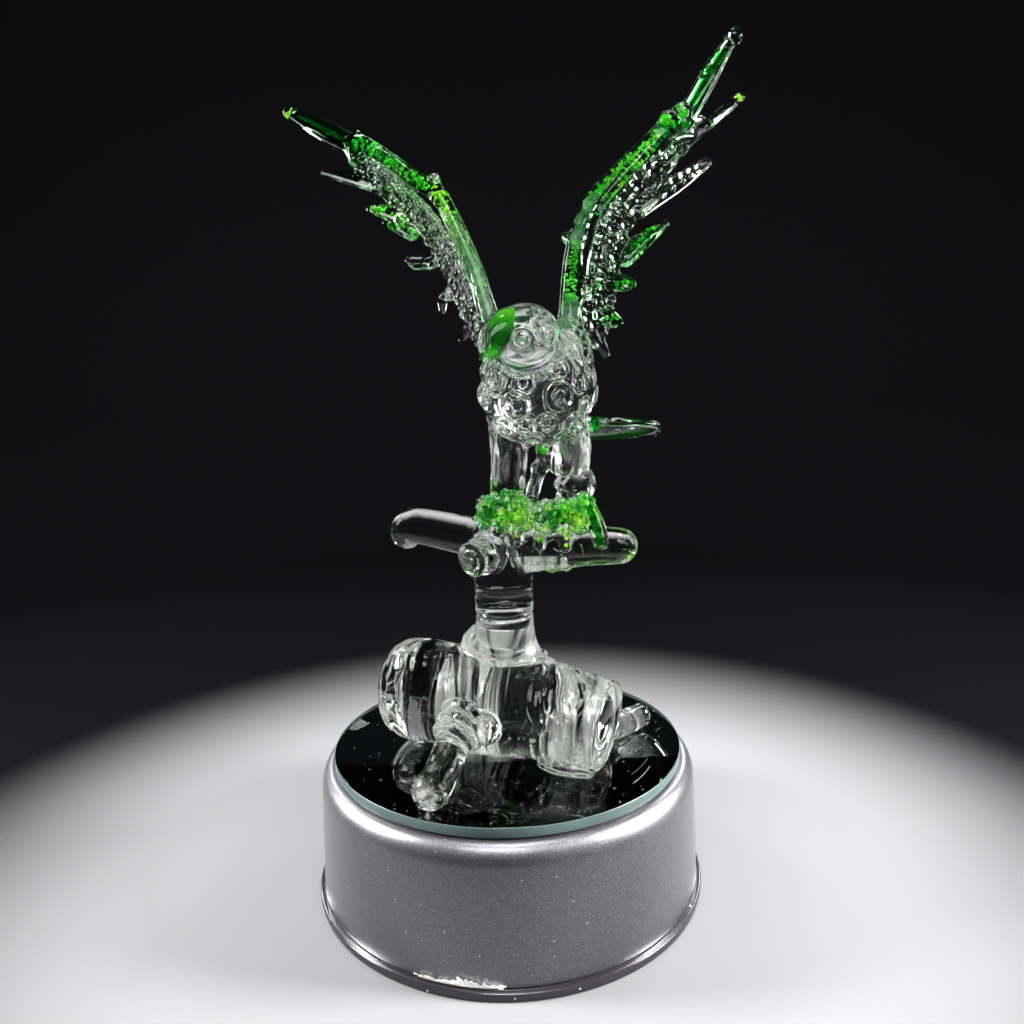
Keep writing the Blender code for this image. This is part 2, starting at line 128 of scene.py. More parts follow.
class Pattern:
    """Shader nodes over the object's own coordinates. Each method gives the socket of its result."""

    def __init__(self, tree):
        self.tree = tree
        self.where = node(tree, "ShaderNodeTexCoord").outputs["Object"]

    def calc(self, operation, *inputs):
        """A sum on single values."""
        return node(self.tree, "ShaderNodeMath", dict(enumerate(inputs)), operation=operation).outputs[0]

    def vector(self, operation, *inputs):
        """A sum on vectors."""
        made = node(self.tree, "ShaderNodeVectorMath", dict(enumerate(inputs)), operation=operation)
        return made.outputs["Value" if operation in ("LENGTH", "DISTANCE") else "Vector"]

    def axes(self):
        """The three coordinates."""
        return node(self.tree, "ShaderNodeSeparateXYZ", {0: self.where}).outputs

    def stretched(self, scale, turn=0.0):
        """The coordinates scaled along each axis, and turned about the upright one."""
        return node(self.tree, "ShaderNodeMapping",
                    {"Vector": self.where, "Rotation": (0.0, 0.0, turn), "Scale": scale}).outputs[0]

    def cloud(self, scale, detail=2.0, distortion=0.0, where=None):
        """Soft noise."""
        return node(self.tree, "ShaderNodeTexNoise", {"Vector": where or self.where, "Scale": scale,
                                                      "Detail": detail, "Distortion": distortion}).outputs[0]

    def cells(self, scale):
        """Grains, each with a colour of its own and the distance from its middle."""
        return node(self.tree, "ShaderNodeTexVoronoi", {"Vector": self.where, "Scale": scale}).outputs

    def chance(self, color):
        """One of a grain's random numbers."""
        return node(self.tree, "ShaderNodeSeparateColor", {0: color}).outputs[0]

    def ranged(self, value, low, high, start=0.0, stop=1.0, **settings):
        """A value between start and stop brought to between low and high."""
        return node(self.tree, "ShaderNodeMapRange", {0: value, 1: start, 2: stop, 3: low, 4: high},
                    **settings).outputs[0]


SPECK_RADIUS = 0.22


def handled_group():
    """What handling leaves on any smooth surface: specks of dust, and slow greasy smears."""
    tree = bpy.data.node_groups.new("handled", "ShaderNodeTree")
    for name, value in (("Speck Scale", 500.0), ("Speck Share", 0.04), ("Smear Scale", 35.0)):
        tree.interface.new_socket(name, in_out="INPUT", socket_type="NodeSocketFloat").default_value = value
    for name in ("Specks", "Smears"):
        tree.interface.new_socket(name, in_out="OUTPUT", socket_type="NodeSocketFloat")
    given = tree.nodes.new("NodeGroupInput").outputs
    dirt = Pattern(tree)
    cells = dirt.cells(given["Speck Scale"])
    rare = dirt.calc("LESS_THAN", dirt.chance(cells["Color"]), given["Speck Share"])
    small = dirt.calc("LESS_THAN", cells["Distance"], SPECK_RADIUS)
    smears = dirt.ranged(dirt.cloud(given["Smear Scale"], 5.0, 0.8), 0.0, 1.0, 0.45, 0.75)
    node(tree, "NodeGroupOutput", {"Specks": dirt.calc("MULTIPLY", rare, small), "Smears": smears})
    return tree


HANDLED = handled_group()


class Finish(Pattern):
    """A material: plain values on its Principled shader, and the nodes that feed it."""

    def __init__(self, name, color, roughness, plain=None):
        self.material = bpy.data.materials.new(name)
        self.material.use_nodes = True
        super().__init__(self.material.node_tree)
        self.shader = self.tree.nodes["Principled BSDF"]
        for key, value in {"Base Color": (*color, 1.0), "Roughness": roughness, **(plain or {})}.items():
            self.shader.inputs[key].default_value = value

    def handled(self, speck_scale, speck_share, smear_scale):
        """The specks and the smears of handling."""
        made = node(self.tree, "ShaderNodeGroup", node_tree=HANDLED)
        for key, value in zip(("Speck Scale", "Speck Share", "Smear Scale"),
                              (speck_scale, speck_share, smear_scale)):
            made.inputs[key].default_value = value
        return made.outputs["Specks"], made.outputs["Smears"]

    def blend(self, share, first, second):
        """A colour from the first to the second."""
        first, second = (color if isinstance(color, bpy.types.NodeSocket) else (*color, 1.0)
                         for color in (first, second))
        return node(self.tree, "ShaderNodeMix", {"Factor": share, 6: first, 7: second},
                    data_type="RGBA").outputs[2]

    def bumped(self, height, strength, distance, normal=None):
        """The surface's normal over a fine relief."""
        inputs = {"Strength": strength, "Distance": distance, "Height": height}
        if normal:
            inputs["Normal"] = normal
        return node(self.tree, "ShaderNodeBump", inputs).outputs[0]

    def fed(self, sockets):
        """The finished material, with these results in its shader."""
        for key, value in sockets.items():
            self.tree.links.new(value, self.shader.inputs[key])
        return self.material


def black_plastic():
    plastic = Finish("black_plastic", (0.012, 0.011, 0.013), 0.16)
    specks, smears = plastic.handled(620.0, 0.05, 30.0)
    return plastic.fed({
        "Base Color": plastic.blend(specks, (0.012, 0.011, 0.013), (0.30, 0.29, 0.28)),
        "Roughness": plastic.ranged(smears, 0.12, 0.28),
        "Normal": plastic.bumped(plastic.cloud(900.0, 3.0), 0.08, 0.0001),
    })


step_radius = plate_radius - step_width
plate_profile = [
    (0.0, 0.0),
    *arc((plate_radius - plate_edge, plate_edge), plate_edge, -90, 0, 5),
    *arc((plate_radius - plate_edge, flange_top - plate_edge), plate_edge, 0, 90, 5),
    (step_radius, flange_top),
    *arc((step_radius - step_edge, step_top - step_edge), step_edge, 0, 90, 3),
    (boss_radius + 2 * step_edge, step_top),
    (boss_radius, step_top + 2 * step_edge),
    *arc((boss_radius - boss_edge, plate_high.z - boss_edge), boss_edge, 0, 90, 4),
    (0.0, plate_high.z),
]
plate = turned("black_bottom_plate", plate_profile, black_plastic())
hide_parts("base_plate")
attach(plate, "base")


# The cup: thin moulded plastic sprayed with silver flake paint, open below, with a soft shoulder round its
# flat deck. The paint has come off in ragged white curls along the lower front edge.
cup_wall = 2.0 * MM
cup_draft = 1.2 * MM
shoulder_width = 4.4 * MM
shoulder_height = 7.0 * MM
foot_edge = 0.35 * MM
FLAKE_SCALE = 4200.0
FLAKE_TILT = 0.07
CHIP_START = math.radians(-116.5)
CHIP_STOP = math.radians(-92.0)


def silver_paint():
    paint = Finish("silver_paint", (0.20, 0.195, 0.21), 0.42,
                   {"Metallic": 0.9, "Coat Weight": 1.0, "Coat Roughness": 0.33})
    flakes = paint.cells(FLAKE_SCALE)["Color"]
    metal = paint.blend(paint.calc("POWER", paint.chance(flakes), 7.0),
                        (0.078, 0.075, 0.086), (0.205, 0.205, 0.222))
    specks, smears = paint.handled(1000.0, 0.012, 26.0)
    dusted = paint.blend(specks, metal, (0.55, 0.55, 0.57))
    # Bare white plastic shows where the angle round the cup and the height are inside the chipped stretch
    x, y, z = paint.axes()
    turn = paint.calc("ARCTAN2", y, x)
    inside = paint.calc("MULTIPLY", paint.calc("GREATER_THAN", turn, CHIP_START),
                        paint.calc("LESS_THAN", turn, CHIP_STOP))
    ragged = paint.ranged(paint.cloud(420.0, 4.0), cup_low.z, cup_low.z + 1.5 * MM, 0.35, 0.7)
    bare = paint.calc("MULTIPLY", inside, paint.calc("LESS_THAN", z, ragged))
    # Each flake lies at its own small tilt, which is what makes the paint sparkle
    facing = node(paint.tree, "ShaderNodeNewGeometry").outputs["Normal"]
    tilt = paint.vector("MULTIPLY", paint.vector("SUBTRACT", flakes, (0.5, 0.5, 0.5)), (FLAKE_TILT,) * 3)
    normal = paint.vector("NORMALIZE", paint.vector("ADD", facing, tilt))
    return paint.fed({
        "Base Color": paint.blend(bare, dusted, (0.84, 0.83, 0.80)),
        "Metallic": paint.ranged(bare, 0.9, 0.0),
        "Roughness": paint.ranged(smears, 0.36, 0.45),
        "Normal": paint.bumped(paint.cloud(210.0), 0.12, 0.00008, normal),
    })


cup_radius = cup_high.x
top_radius = cup_radius - cup_draft
deck = cup_high.z
shoulder = []
for step in range(17):
    angle = math.radians(90) * step / 16
    shoulder.append((top_radius - shoulder_width * (1 - math.cos(angle)),
                     deck - shoulder_height * (1 - math.sin(angle))))
cup_profile = [
    (0.0, deck - cup_wall),
    (top_radius - cup_wall - shoulder_width, deck - cup_wall),
    (top_radius - cup_wall, deck - shoulder_height),
    (cup_radius - cup_wall, cup_low.z + foot_edge),
    (cup_radius - cup_wall + foot_edge, cup_low.z),
    *arc((cup_radius - foot_edge, cup_low.z + foot_edge), foot_edge, -90, 0, 5),
    *shoulder,
    (0.0, deck),
]
cup = turned("silver_cup", cup_profile, silver_paint())
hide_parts("drum_shell")
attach(cup, "turntable")


def peeled_paint():
    paint = Finish("peeled_paint", (0.86, 0.85, 0.82), 0.55)
    grain = paint.cloud(1500.0, 5.0)
    return paint.fed({
        "Base Color": paint.blend(grain, (0.70, 0.69, 0.67), (0.96, 0.95, 0.93)),
        "Normal": paint.bumped(grain, 0.5, 0.0002),
    })


# Each curl of peeled paint: first and last angle round the cup, height of its ragged top edge at its start,
# middle and end, and how far it stands off the wall
CURLS = [
    ((-114.8, -109.9), (0.9, 1.7, 0.8), 0.55),
    ((-110.4, -104.0), (0.5, 1.2, 0.9), 0.35),
    ((-104.4, -92.8), (3.0, 2.1, 0.3), 0.45),
]


def paint_curl(bm, angles, tops, lift, seed):
    """One curl: a thin ragged strip that follows the wall, with its upper edge bent outwards."""
    columns = 60
    rows = 6
    skins = []
    for skin in (0.0, 0.12 * MM):
        grid = []
        for i in range(columns + 1):
            share = i / columns
            angle = math.radians(angles[0] + (angles[1] - angles[0]) * share)
            first, middle, last = tops
            top = first * (1 - share) * (1 - 2 * share) + 4 * middle * share * (1 - share)
            top += last * share * (2 * share - 1)
            top *= 0.8 + 0.55 * noise.noise(Vector((share * 14, seed, 0.3)))
            column = []
            for j in range(rows + 1):
                up = j / rows
                rise = max(0.12, top) * up * MM
                crumple = 0.25 * noise.noise(Vector((share * 26, up * 3, seed + 5.0)))
                out = (0.18 + (lift + crumple) * up * up) * MM + skin
                radius = cup_radius + out
                column.append(bm.verts.new((radius * math.cos(angle), radius * math.sin(angle),
                                            cup_low.z + 0.1 * MM + rise)))
            grid.append(column)
        skins.append(grid)
    inner, outer = skins
    for i in range(columns):
        for j in range(rows):
            bm.faces.new((outer[i][j], outer[i + 1][j], outer[i + 1][j + 1], outer[i][j + 1]))
            bm.faces.new((inner[i][j], inner[i][j + 1], inner[i + 1][j + 1], inner[i + 1][j]))
        bm.faces.new((inner[i][0], inner[i + 1][0], outer[i + 1][0], outer[i][0]))
        bm.faces.new((outer[i][rows], outer[i + 1][rows], inner[i + 1][rows], inner[i][rows]))
    for j in range(rows):
        bm.faces.new((inner[0][j], outer[0][j], outer[0][j + 1], inner[0][j + 1]))
        bm.faces.new((outer[-1][j], inner[-1][j], inner[-1][j + 1], outer[-1][j + 1]))


peeled = bmesh.new()
for number, (angles, tops, lift) in enumerate(CURLS):
    paint_curl(peeled, angles, tops, lift, number * 3.7)
bmesh.ops.recalc_face_normals(peeled, faces=peeled.faces)
peeled_mesh = bpy.data.meshes.new("peeled_paint")
peeled.to_mesh(peeled_mesh)
peeled.free()
curls = linked("peeled_paint", peeled_mesh, peeled_paint())
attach(curls, "turntable")


# The mirror: a disc of float glass silvered on its back, laid on the cup's deck, its sharp edges taken off
# with a stone. Its edge shows grey-green and the silvering ends in a thin dark line under it.
pane_low, pane_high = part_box("mirror_top")
pane_radius = pane_high.x
silvering = 0.2 * MM
pane_bottom = pane_low.z + silvering + 0.02 * MM
arris = 0.35 * MM
SCRATCH_CENTRE = (0.013, -0.006, 0.0)
SCRATCH_RADIUS = 0.0375
SCRATCH_WIDTH = 0.00004


def float_glass():
    glass = Finish("float_glass", (0.93, 0.97, 0.95), 0.0, {"Transmission Weight": 1.0, "IOR": 1.52})
    specks, smears = glass.handled(900.0, 0.008, 22.0)
    # One fine curved scratch near the right of the mirror, on its upper face alone
    flat = glass.vector("MULTIPLY", glass.where, (1.0, 1.0, 0.0))
    away = glass.vector("DISTANCE", flat, SCRATCH_CENTRE)
    scratch = glass.calc("COMPARE", away, SCRATCH_RADIUS, SCRATCH_WIDTH)
    x, y, z = glass.axes()
    for inside in (glass.calc("GREATER_THAN", x, 0.040), glass.calc("LESS_THAN", y, -0.021),
                   glass.calc("GREATER_THAN", z, pane_high.z - 0.02 * MM)):
        scratch = glass.calc("MULTIPLY", scratch, inside)
    worn = glass.calc("MAXIMUM", glass.calc("MULTIPLY", specks, 0.5), scratch)
    return glass.fed({"Roughness": glass.calc("MAXIMUM", glass.ranged(smears, 0.0, 0.04), worn)})


def ground_edge():
    glass = Finish("ground_glass_edge", (0.04, 0.052, 0.05), 0.34, {"Specular IOR Level": 0.15})
    grind = glass.cloud(800.0, 4.0, where=glass.stretched((1.0, 1.0, 0.25)))
    return glass.fed({
        "Base Color": glass.blend(glass.cloud(60.0), (0.020, 0.034, 0.032), (0.052, 0.074, 0.070)),
        "Normal": glass.bumped(grind, 0.2, 0.0001),
    })


def silver_back():
    silver = Finish("silvering", (0.88, 0.90, 0.89), 0.01, {"Metallic": 1.0})
    return silver.fed({"Base Color": silver.blend(silver.cloud(12.0), (0.84, 0.87, 0.86), (0.92, 0.93, 0.92))})


def backing_paint():
    paint = Finish("backing_paint", (0.02, 0.02, 0.022), 0.5)
    return paint.fed({"Roughness": paint.ranged(paint.cloud(400.0), 0.4, 0.6, 0.3, 0.7)})


pane_profile = [
    (0.0, pane_bottom),
    (pane_radius - arris, pane_bottom),
    (pane_radius, pane_bottom + arris),
    (pane_radius, pane_high.z - arris),
    (pane_radius - 0.4 * arris, pane_high.z - 0.25 * arris),
    (pane_radius - arris, pane_high.z),
    (0.0, pane_high.z),
]
pane = turned("mirror_pane", pane_profile, float_glass(), ground_edge(), bands=(1, 2, 3))
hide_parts("mirror_top")
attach(pane, "turntable")
back_profile = [
    (0.0, pane_low.z),
    (pane_radius - arris, pane_low.z),
    (pane_radius - arris, pane_low.z + silvering),
    (0.0, pane_low.z + silvering),
]
back = turned("mirror_silvering", back_profile, silver_back(), backing_paint(), bands=(0, 1))
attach(back, "turntable")


# The eagle: soft glass rods and gathers drawn, pressed and fused in a flame into one solid. The log and its
# roots, the trunk, the perch and the bird are worked hot one onto the other, so every joint has a melted seam.
figure_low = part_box("glass_eagle")[0]
PART = 0.2297 / 230
PERCH_TURN = math.radians(-25)
STAND = Vector((0.2 * MM, -12.4 * MM, figure_low.z))
TURN = Matrix.Rotation(PERCH_TURN, 3, "Z")
LOG_RADIUS = 18.0
LOG_LEFT = -45.5
LOG_RIGHT = 37.5
TRUNK_RADIUS = 9.8
PERCH_UP = 74.0
PERCH_RADIUS = 6.3
LEG_RADIUS = 6.2
LEG_LEFT = 3.4
LEG_RIGHT = 25.4
BODY = Vector((12.9, -3.0, 124.0))
BODY_SIZE = Vector((17.4, 23.0, 17.4))
HEAD = Vector((17.6, 19.0, 139.5))
HEAD_RADIUS = 10.7
TAIL_RUN = Vector((21.0, -33.0, -2.6))
TAIL_ROOT = Vector((16.9, -18.0, 111.0))
TAIL_WIDTH = 13.0
FACET = 0.55
ROW_GAP = 0.8
CAP_ANGLES = (0.1, 0.2, 0.32, 0.44, 0.57, 0.7, 0.84, 0.98, 1.12, 1.26, 1.38, 1.5)


def place(along, forward, up):
    """A point of the figure, in parts: along the perch, forward as the eagle looks, up from the mirror."""
    return STAND + TURN @ Vector((along, -forward, up)) * PART


def heading(along, forward, up):
    """A direction in the figure's frame."""
    return (TURN @ Vector((along, -forward, up))).normalized()


def smooth_rows(rows, steps):
    """Rows of numbers read from the Catmull-Rom curve through them."""
    rows = [Vector(row) for row in rows]
    ends = [2 * rows[0] - rows[1], *rows, 2 * rows[-1] - rows[-2]]
    read = []
    for first, second, third, fourth in zip(ends, ends[1:], ends[2:], ends[3:]):
        for step in range(steps):
            t = step / steps
            bend = 2 * first - 5 * second + 4 * third - fourth
            twist = 3 * second - first - 3 * third + fourth
            read.append((2 * second + (third - first) * t + bend * t ** 2 + twist * t ** 3) / 2)
    return [*read, rows[-1]]


class SoftGlass:
    """Worked glass before it is fused: closed forms, as plain lists of points and faces."""

    def __init__(self):
        self.spots = []
        self.faces = []

    def add(self, spots, faces):
        """One more closed form."""
        first = len(self.spots)
        self.spots.extend(tuple(spot) for spot in spots)
        self.faces.extend(tuple(first + corner for corner in face) for face in faces)

    def skin(self, loops):
        """A closed form from loops of points that run the same way round."""
        sides = len(loops[0])
        faces = [tuple(reversed(range(sides)))]
        for row in range(len(loops) - 1):
            low = row * sides
            for step in range(sides):
                after = (step + 1) % sides
                faces.append((low + step, low + after, low + sides + after, low + sides + step))
        faces.append(tuple(range((len(loops) - 1) * sides, len(loops) * sides)))
        self.add([spot for loop in loops for spot in loop], faces)

    def add_mesh(self, mesh):
        """The closed forms of a mesh."""
        self.add([vertex.co for vertex in mesh.vertices], [face.vertices for face in mesh.polygons])
        bpy.data.meshes.remove(mesh)

    def mesh(self):
        """All of it as one mesh."""
        made = bpy.data.meshes.new("soft_glass")
        made.from_pydata(self.spots, [], self.faces)
        return made


def ring_axes(rows, wide=None, steps=None):
    """The rings of a limb: centre, tangent and the two half axes of each, read along its rows."""
    longest = max((Vector(after[:3]) - Vector(row[:3])).length for row, after in zip(rows, rows[1:]))
    read = smooth_rows(rows, steps or max(4, round(longest / ROW_GAP)))
    centres = [place(*row[:3]) for row in read]
    last = len(centres) - 1
    across = wide or heading(0.3, 0.2, 1.0)
    rings = []
    for i, (centre, row) in enumerate(zip(centres, read)):
        tangent = (centres[min(i + 1, last)] - centres[max(i - 1, 0)]).normalized()
        across = (across - tangent * across.dot(tangent)).normalized()
        rings.append((centre, tangent, across * row[3] * PART, tangent.cross(across) * row[4] * PART))
    return rings


def sides_of(radius):
    """How many sides a round form needs for facets finer than the grain that it is fused at."""
    return max(20, round(math.tau * radius / FACET))


def circle(steps):
    """Steps round a circle of radius 1: the two coordinates of each."""
    return [(math.cos(math.tau * step / steps), math.sin(math.tau * step / steps)) for step in range(steps)]


def limb(glass, rows, wide=None, steps=None, ends=(1.0, 1.0)):
    """A drawn rod of glass. Each row is (along, forward, up, half width, half thickness), in parts.

    wide is the direction that the half width lies in. ends are how far the two ends are rounded:
    1 is a half ball, and near 0 is a flat cut.
    """
    rings = ring_axes(rows, wide, steps)

    def cap(ring, roundness, angle):
        centre, tangent, a, b = ring
        reach = min(a.length, b.length) * roundness * math.sin(angle)
        return centre + tangent * reach, a * math.cos(angle), b * math.cos(angle)

    shaped = [cap(rings[0], -ends[0], angle) for angle in reversed(CAP_ANGLES)]
    shaped += [(centre, a, b) for centre, tangent, a, b in rings]
    shaped += [cap(rings[-1], ends[1], angle) for angle in CAP_ANGLES]
    turns = circle(sides_of(max(max(row[3:]) for row in rows)))
    glass.skin([[centre + a * c + b * s for c, s in turns] for centre, a, b in shaped])


def rod(glass, rows, **options):
    """A round rod: each row is (along, forward, up, radius)."""
    limb(glass, [(*row, row[3]) for row in rows], **options)


def lump(glass, centre, radius, length=None, height=None):
    """An ellipsoid of glass: radius along the perch, length forward, height up."""
    sides = sides_of(max(radius, length or radius, height or radius))
    loops = []
    levels = sides // 2
    for level in range(levels):
        angle = math.pi * (level + 0.15) / (levels - 0.7) - math.pi / 2
        loop = []
        for step in range(sides):
            turn = math.tau * step / sides
            loop.append(place(centre[0] + radius * math.cos(angle) * math.cos(turn),
                              centre[1] - (length or radius) * math.cos(angle) * math.sin(turn),
                              centre[2] + (height or radius) * math.sin(angle)))
        loops.append(loop)
    glass.skin(loops)


def baked(holder):
    """The mesh that an object's modifiers give. The object itself is taken away."""
    made = bpy.data.meshes.new_from_object(holder.evaluated_get(bpy.context.evaluated_depsgraph_get()))
    bpy.data.objects.remove(holder)
    return made


def drop_tree():
    """Geometry nodes: a ball of glass at each point, sized by the point's own radius and a random spread."""
    tree = bpy.data.node_groups.new("glass_drops", "GeometryNodeTree")
    for name, kind in (("Places", "Geometry"), ("Size Spread", "Float"), ("Flattening", "Float"),
                       ("Roundness", "Int"), ("Seed", "Int"), ("Finish", "Material")):
        tree.interface.new_socket(name, in_out="INPUT", socket_type="NodeSocket" + kind)
    tree.interface.new_socket("Drops", in_out="OUTPUT", socket_type="NodeSocketGeometry")
    given = tree.nodes.new("NodeGroupInput").outputs

    def step(kind, inputs, output=0, **settings):
        return node(tree, kind, inputs, **settings).outputs[output]

    points = step("GeometryNodeMeshToPoints", {"Mesh": given["Places"]})
    ball = step("GeometryNodeMeshIcoSphere", {"Radius": 1.0, "Subdivisions": given["Roundness"]})
    radius = step("GeometryNodeInputNamedAttribute", {"Name": "drop_size"}, data_type="FLOAT")
    less = step("ShaderNodeMath", {0: 1.0, 1: given["Size Spread"]}, operation="SUBTRACT")
    more = step("ShaderNodeMath", {0: 1.0, 1: given["Size Spread"]}, operation="ADD")
    spread = step("FunctionNodeRandomValue", {2: less, 3: more, "Seed": given["Seed"]}, 1, data_type="FLOAT")
    size = step("ShaderNodeMath", {0: radius, 1: spread}, operation="MULTIPLY")
    low = step("ShaderNodeMath", {0: size, 1: given["Flattening"]}, operation="MULTIPLY")
    scale = step("ShaderNodeCombineXYZ", {0: size, 1: size, 2: low})
    spin = step("FunctionNodeRandomValue", {0: (0.0, 0.0, 0.0), 1: (math.tau, math.tau, math.tau),
                                            "Seed": given["Seed"]}, data_type="FLOAT_VECTOR")
    placed = step("GeometryNodeInstanceOnPoints",
                  {"Points": points, "Instance": ball, "Scale": scale, "Rotation": spin})
    real = step("GeometryNodeRealizeInstances", {0: placed})
    painted = step("GeometryNodeSetMaterial", {"Geometry": real, "Material": given["Finish"]})
    node(tree, "NodeGroupOutput", {"Drops": painted})
    return tree


DROPS = drop_tree()


def drops(places, radii, spread=0.0, flattening=1.0, roundness=3, seed=1, finish=None):
    """A plain mesh of glass balls at the places (world points), with their radii in metres."""
    mesh = bpy.data.meshes.new("drop_places")
    mesh.from_pydata([tuple(spot) for spot in places], [], [])
    mesh.attributes.new("drop_size", "FLOAT", "POINT").data.foreach_set("value", radii)
    holder = linked("drop_places", mesh)
    nodes = holder.modifiers.new("drops", "NODES")
    nodes.node_group = DROPS
    values = {"Size Spread": spread, "Flattening": flattening, "Roundness": roundness, "Seed": seed,
              "Finish": finish}
    for item in DROPS.interface.items_tree:
        if item.name in values:
            nodes[item.identifier] = values[item.name]
    return baked(holder)


clay = SoftGlass()

# The log: a thick clear bar pulled from the furnace, with a sleeve of glass wrapped round its left third, a
# knot that was folded in with a tool at the right, and three stubby roots that steady it on the mirror.
AXIS_UP = LOG_RADIUS - 0.3
KNOT_RADIUS = LOG_RADIUS * 0.83
SLEEVE = (-19.6, -1.4)
rod(clay, [
    (LOG_LEFT + 5, 0, AXIS_UP, LOG_RADIUS - 1.2),
    (LOG_LEFT + 9, 0, AXIS_UP + 0.2, LOG_RADIUS + 0.1),
    (-26, 0, AXIS_UP + 0.2, LOG_RADIUS),
    (-21, 0.2, AXIS_UP, LOG_RADIUS - 0.7),
    (-15, 0.3, AXIS_UP, LOG_RADIUS - 0.35),
    (-8, 0.1, AXIS_UP, LOG_RADIUS - 0.35),
    (-1, 0, AXIS_UP, LOG_RADIUS - 0.35),
    (5, 0, AXIS_UP, LOG_RADIUS - 0.35),
    (10, 0, AXIS_UP - 0.1, LOG_RADIUS - 0.45),
    (14.5, 0, AXIS_UP - 0.9, LOG_RADIUS - 1.6),
    (18.5, 0, AXIS_UP - 1.2, LOG_RADIUS - 1.3),
    (26, 0, KNOT_RADIUS + 0.9, KNOT_RADIUS + 0.8),
    (LOG_RIGHT - 1.5, 0, KNOT_RADIUS - 0.3, KNOT_RADIUS),
], ends=(0.3, 0.12))
rod(clay, [
    (SLEEVE[0], 0.3, AXIS_UP, LOG_RADIUS + 0.35),
    ((SLEEVE[0] + SLEEVE[1]) / 2, 0.5, AXIS_UP, LOG_RADIUS + 0.6),
    (SLEEVE[1], 0.4, AXIS_UP, LOG_RADIUS + 0.25),
], ends=(0.06, 0.05))
# The crease where the sleeve was started, and the folds of the knot: each is a ropy ridge
for crease in ([(-20.7, 6.5, 34.6, 1.2), (-18.6, 11.5, 31.8, 1.5), (-17.4, 14.4, 28.6, 1.0)],
               [(-17.8, 8.0, 34.6, 1.1), (-16.2, 12.6, 31.6, 1.3), (-16.6, 15.4, 27.6, 0.9)]):
    rod(clay, crease)
FOLDS = [
    [(14.6, 4.0, 33.4, 1.2), (16.2, 9.4, 30.8, 2.4), (16.8, 15.0, 23.8, 2.7), (19.2, 16.2, 18.0, 1.4)],
    [(18.4, 3.0, 33.2, 1.6), (20.6, 9.2, 30.4, 2.9), (21.4, 13.2, 25.8, 2.8), (24.0, 14.2, 21.2, 1.8)],
    [(23.6, 1.6, 32.4, 1.6), (27.0, 6.2, 30.6, 3.0), (29.2, 9.2, 27.4, 2.7), (26.6, 12.2, 24.2, 1.9)],
    [(31.2, 6.0, 28.8, 1.6), (30.6, 10.4, 25.4, 2.2), (27.4, 13.4, 21.4, 1.7)],
    [(22.2, 15.2, 20.8, 1.5), (21.4, 15.8, 14.0, 2.1), (21.2, 14.6, 8.0, 2.0)],
]
for fold in FOLDS:
    rod(clay, fold)
rod(clay, [(18.5, 14.2, 5.0, 1.6), (22.5, 13.8, 4.4, 2.3), (27.2, 11.4, 3.2, 2.5), (33.0, 10.6, 3.0, 2.1)])
ROOT = [
    (-7, 10, 20, 6.6), (-7.4, 19, 16.4, 6.1), (-7.2, 27, 12.4, 5.6), (-6.2, 37, 7.8, 5.5),
    (-5.6, 44.5, 6.0, 5.8),
]
rod(clay, ROOT)
# A thread of glass wound round the root where it leaves the log, and a knob where the thread was cut off
COIL_TURNS = 3
COIL_STEPS = 14
coil = []
for step in range(COIL_TURNS * COIL_STEPS + 1):
    turn = math.tau * step / COIL_STEPS
    share = step / (COIL_TURNS * COIL_STEPS)
    middle = Vector((-7.3, 14.6 + 10.6 * share, 18.6 - 5.4 * share))
    wind = Vector((math.cos(turn), -0.43 * math.sin(turn), -0.9 * math.sin(turn))) * (7.0 - 0.9 * share)
    coil.append((*(middle + wind), 2.15))
rod(clay, coil)
lump(clay, (1.4, 19.4, 16.0), 4.2, 4.6, 5.2)
rod(clay, [(27, -8, 9, 5.4), (33, -22, 5.4, 4.6), (37.2, -34.4, 4.4, 4.3)])
lump(clay, (33.5, -24, 5.2), 5.1, 2.6, 4.9)

# The trunk: a clear rod stuck upright onto the hot log, where its end spread into a saddle with a bead round
# it. Two arms and a stub cut off towards the front make the perch, each pushed on hot and marked by a seam.
FOOT_UP = 2 * LOG_RADIUS
FOOT_REACH = (15.2, 8.0)
limb(clay, [
    (-1.6, -0.8, FOOT_UP - 6.0, 17.0, 8.8),
    (-1.6, -0.8, FOOT_UP + 0.2, 15.4, 8.6),
    (-1.0, -0.5, FOOT_UP + 3.6, 13.2, 9.0),
    (-0.2, -0.1, FOOT_UP + 7.2, 10.6, 9.4),
    (0, 0, FOOT_UP + 11, TRUNK_RADIUS, TRUNK_RADIUS),
    (0, 0, FOOT_UP + 13.0, TRUNK_RADIUS - 0.1, TRUNK_RADIUS - 0.1),
    (0, 0, FOOT_UP + 14.2, TRUNK_RADIUS - 0.7, TRUNK_RADIUS - 0.7),
    (0, 0, FOOT_UP + 15.4, TRUNK_RADIUS + 0.1, TRUNK_RADIUS + 0.1),
    (0, 0, FOOT_UP + 20.0, TRUNK_RADIUS - 0.1, TRUNK_RADIUS - 0.1),
    (0, 0, FOOT_UP + 21.2, TRUNK_RADIUS - 0.7, TRUNK_RADIUS - 0.7),
    (0, 0, FOOT_UP + 22.6, TRUNK_RADIUS, TRUNK_RADIUS),
    (0, 0, PERCH_UP - 7, TRUNK_RADIUS - 0.2, TRUNK_RADIUS - 0.2),
    (0, 0, PERCH_UP, TRUNK_RADIUS - 1.5, TRUNK_RADIUS - 1.5),
], wide=heading(1.0, 0.0, 0.0), steps=6)
RING_STEPS = 24
bead = []
for step in range(RING_STEPS + 1):
    turn = math.tau * step / RING_STEPS
    forward = FOOT_REACH[1] * math.sin(turn)
    bead.append((-1.6 + FOOT_REACH[0] * math.cos(turn), forward - 0.8,
                 AXIS_UP + math.sqrt(LOG_RADIUS ** 2 - forward ** 2) + 0.2, 1.1))
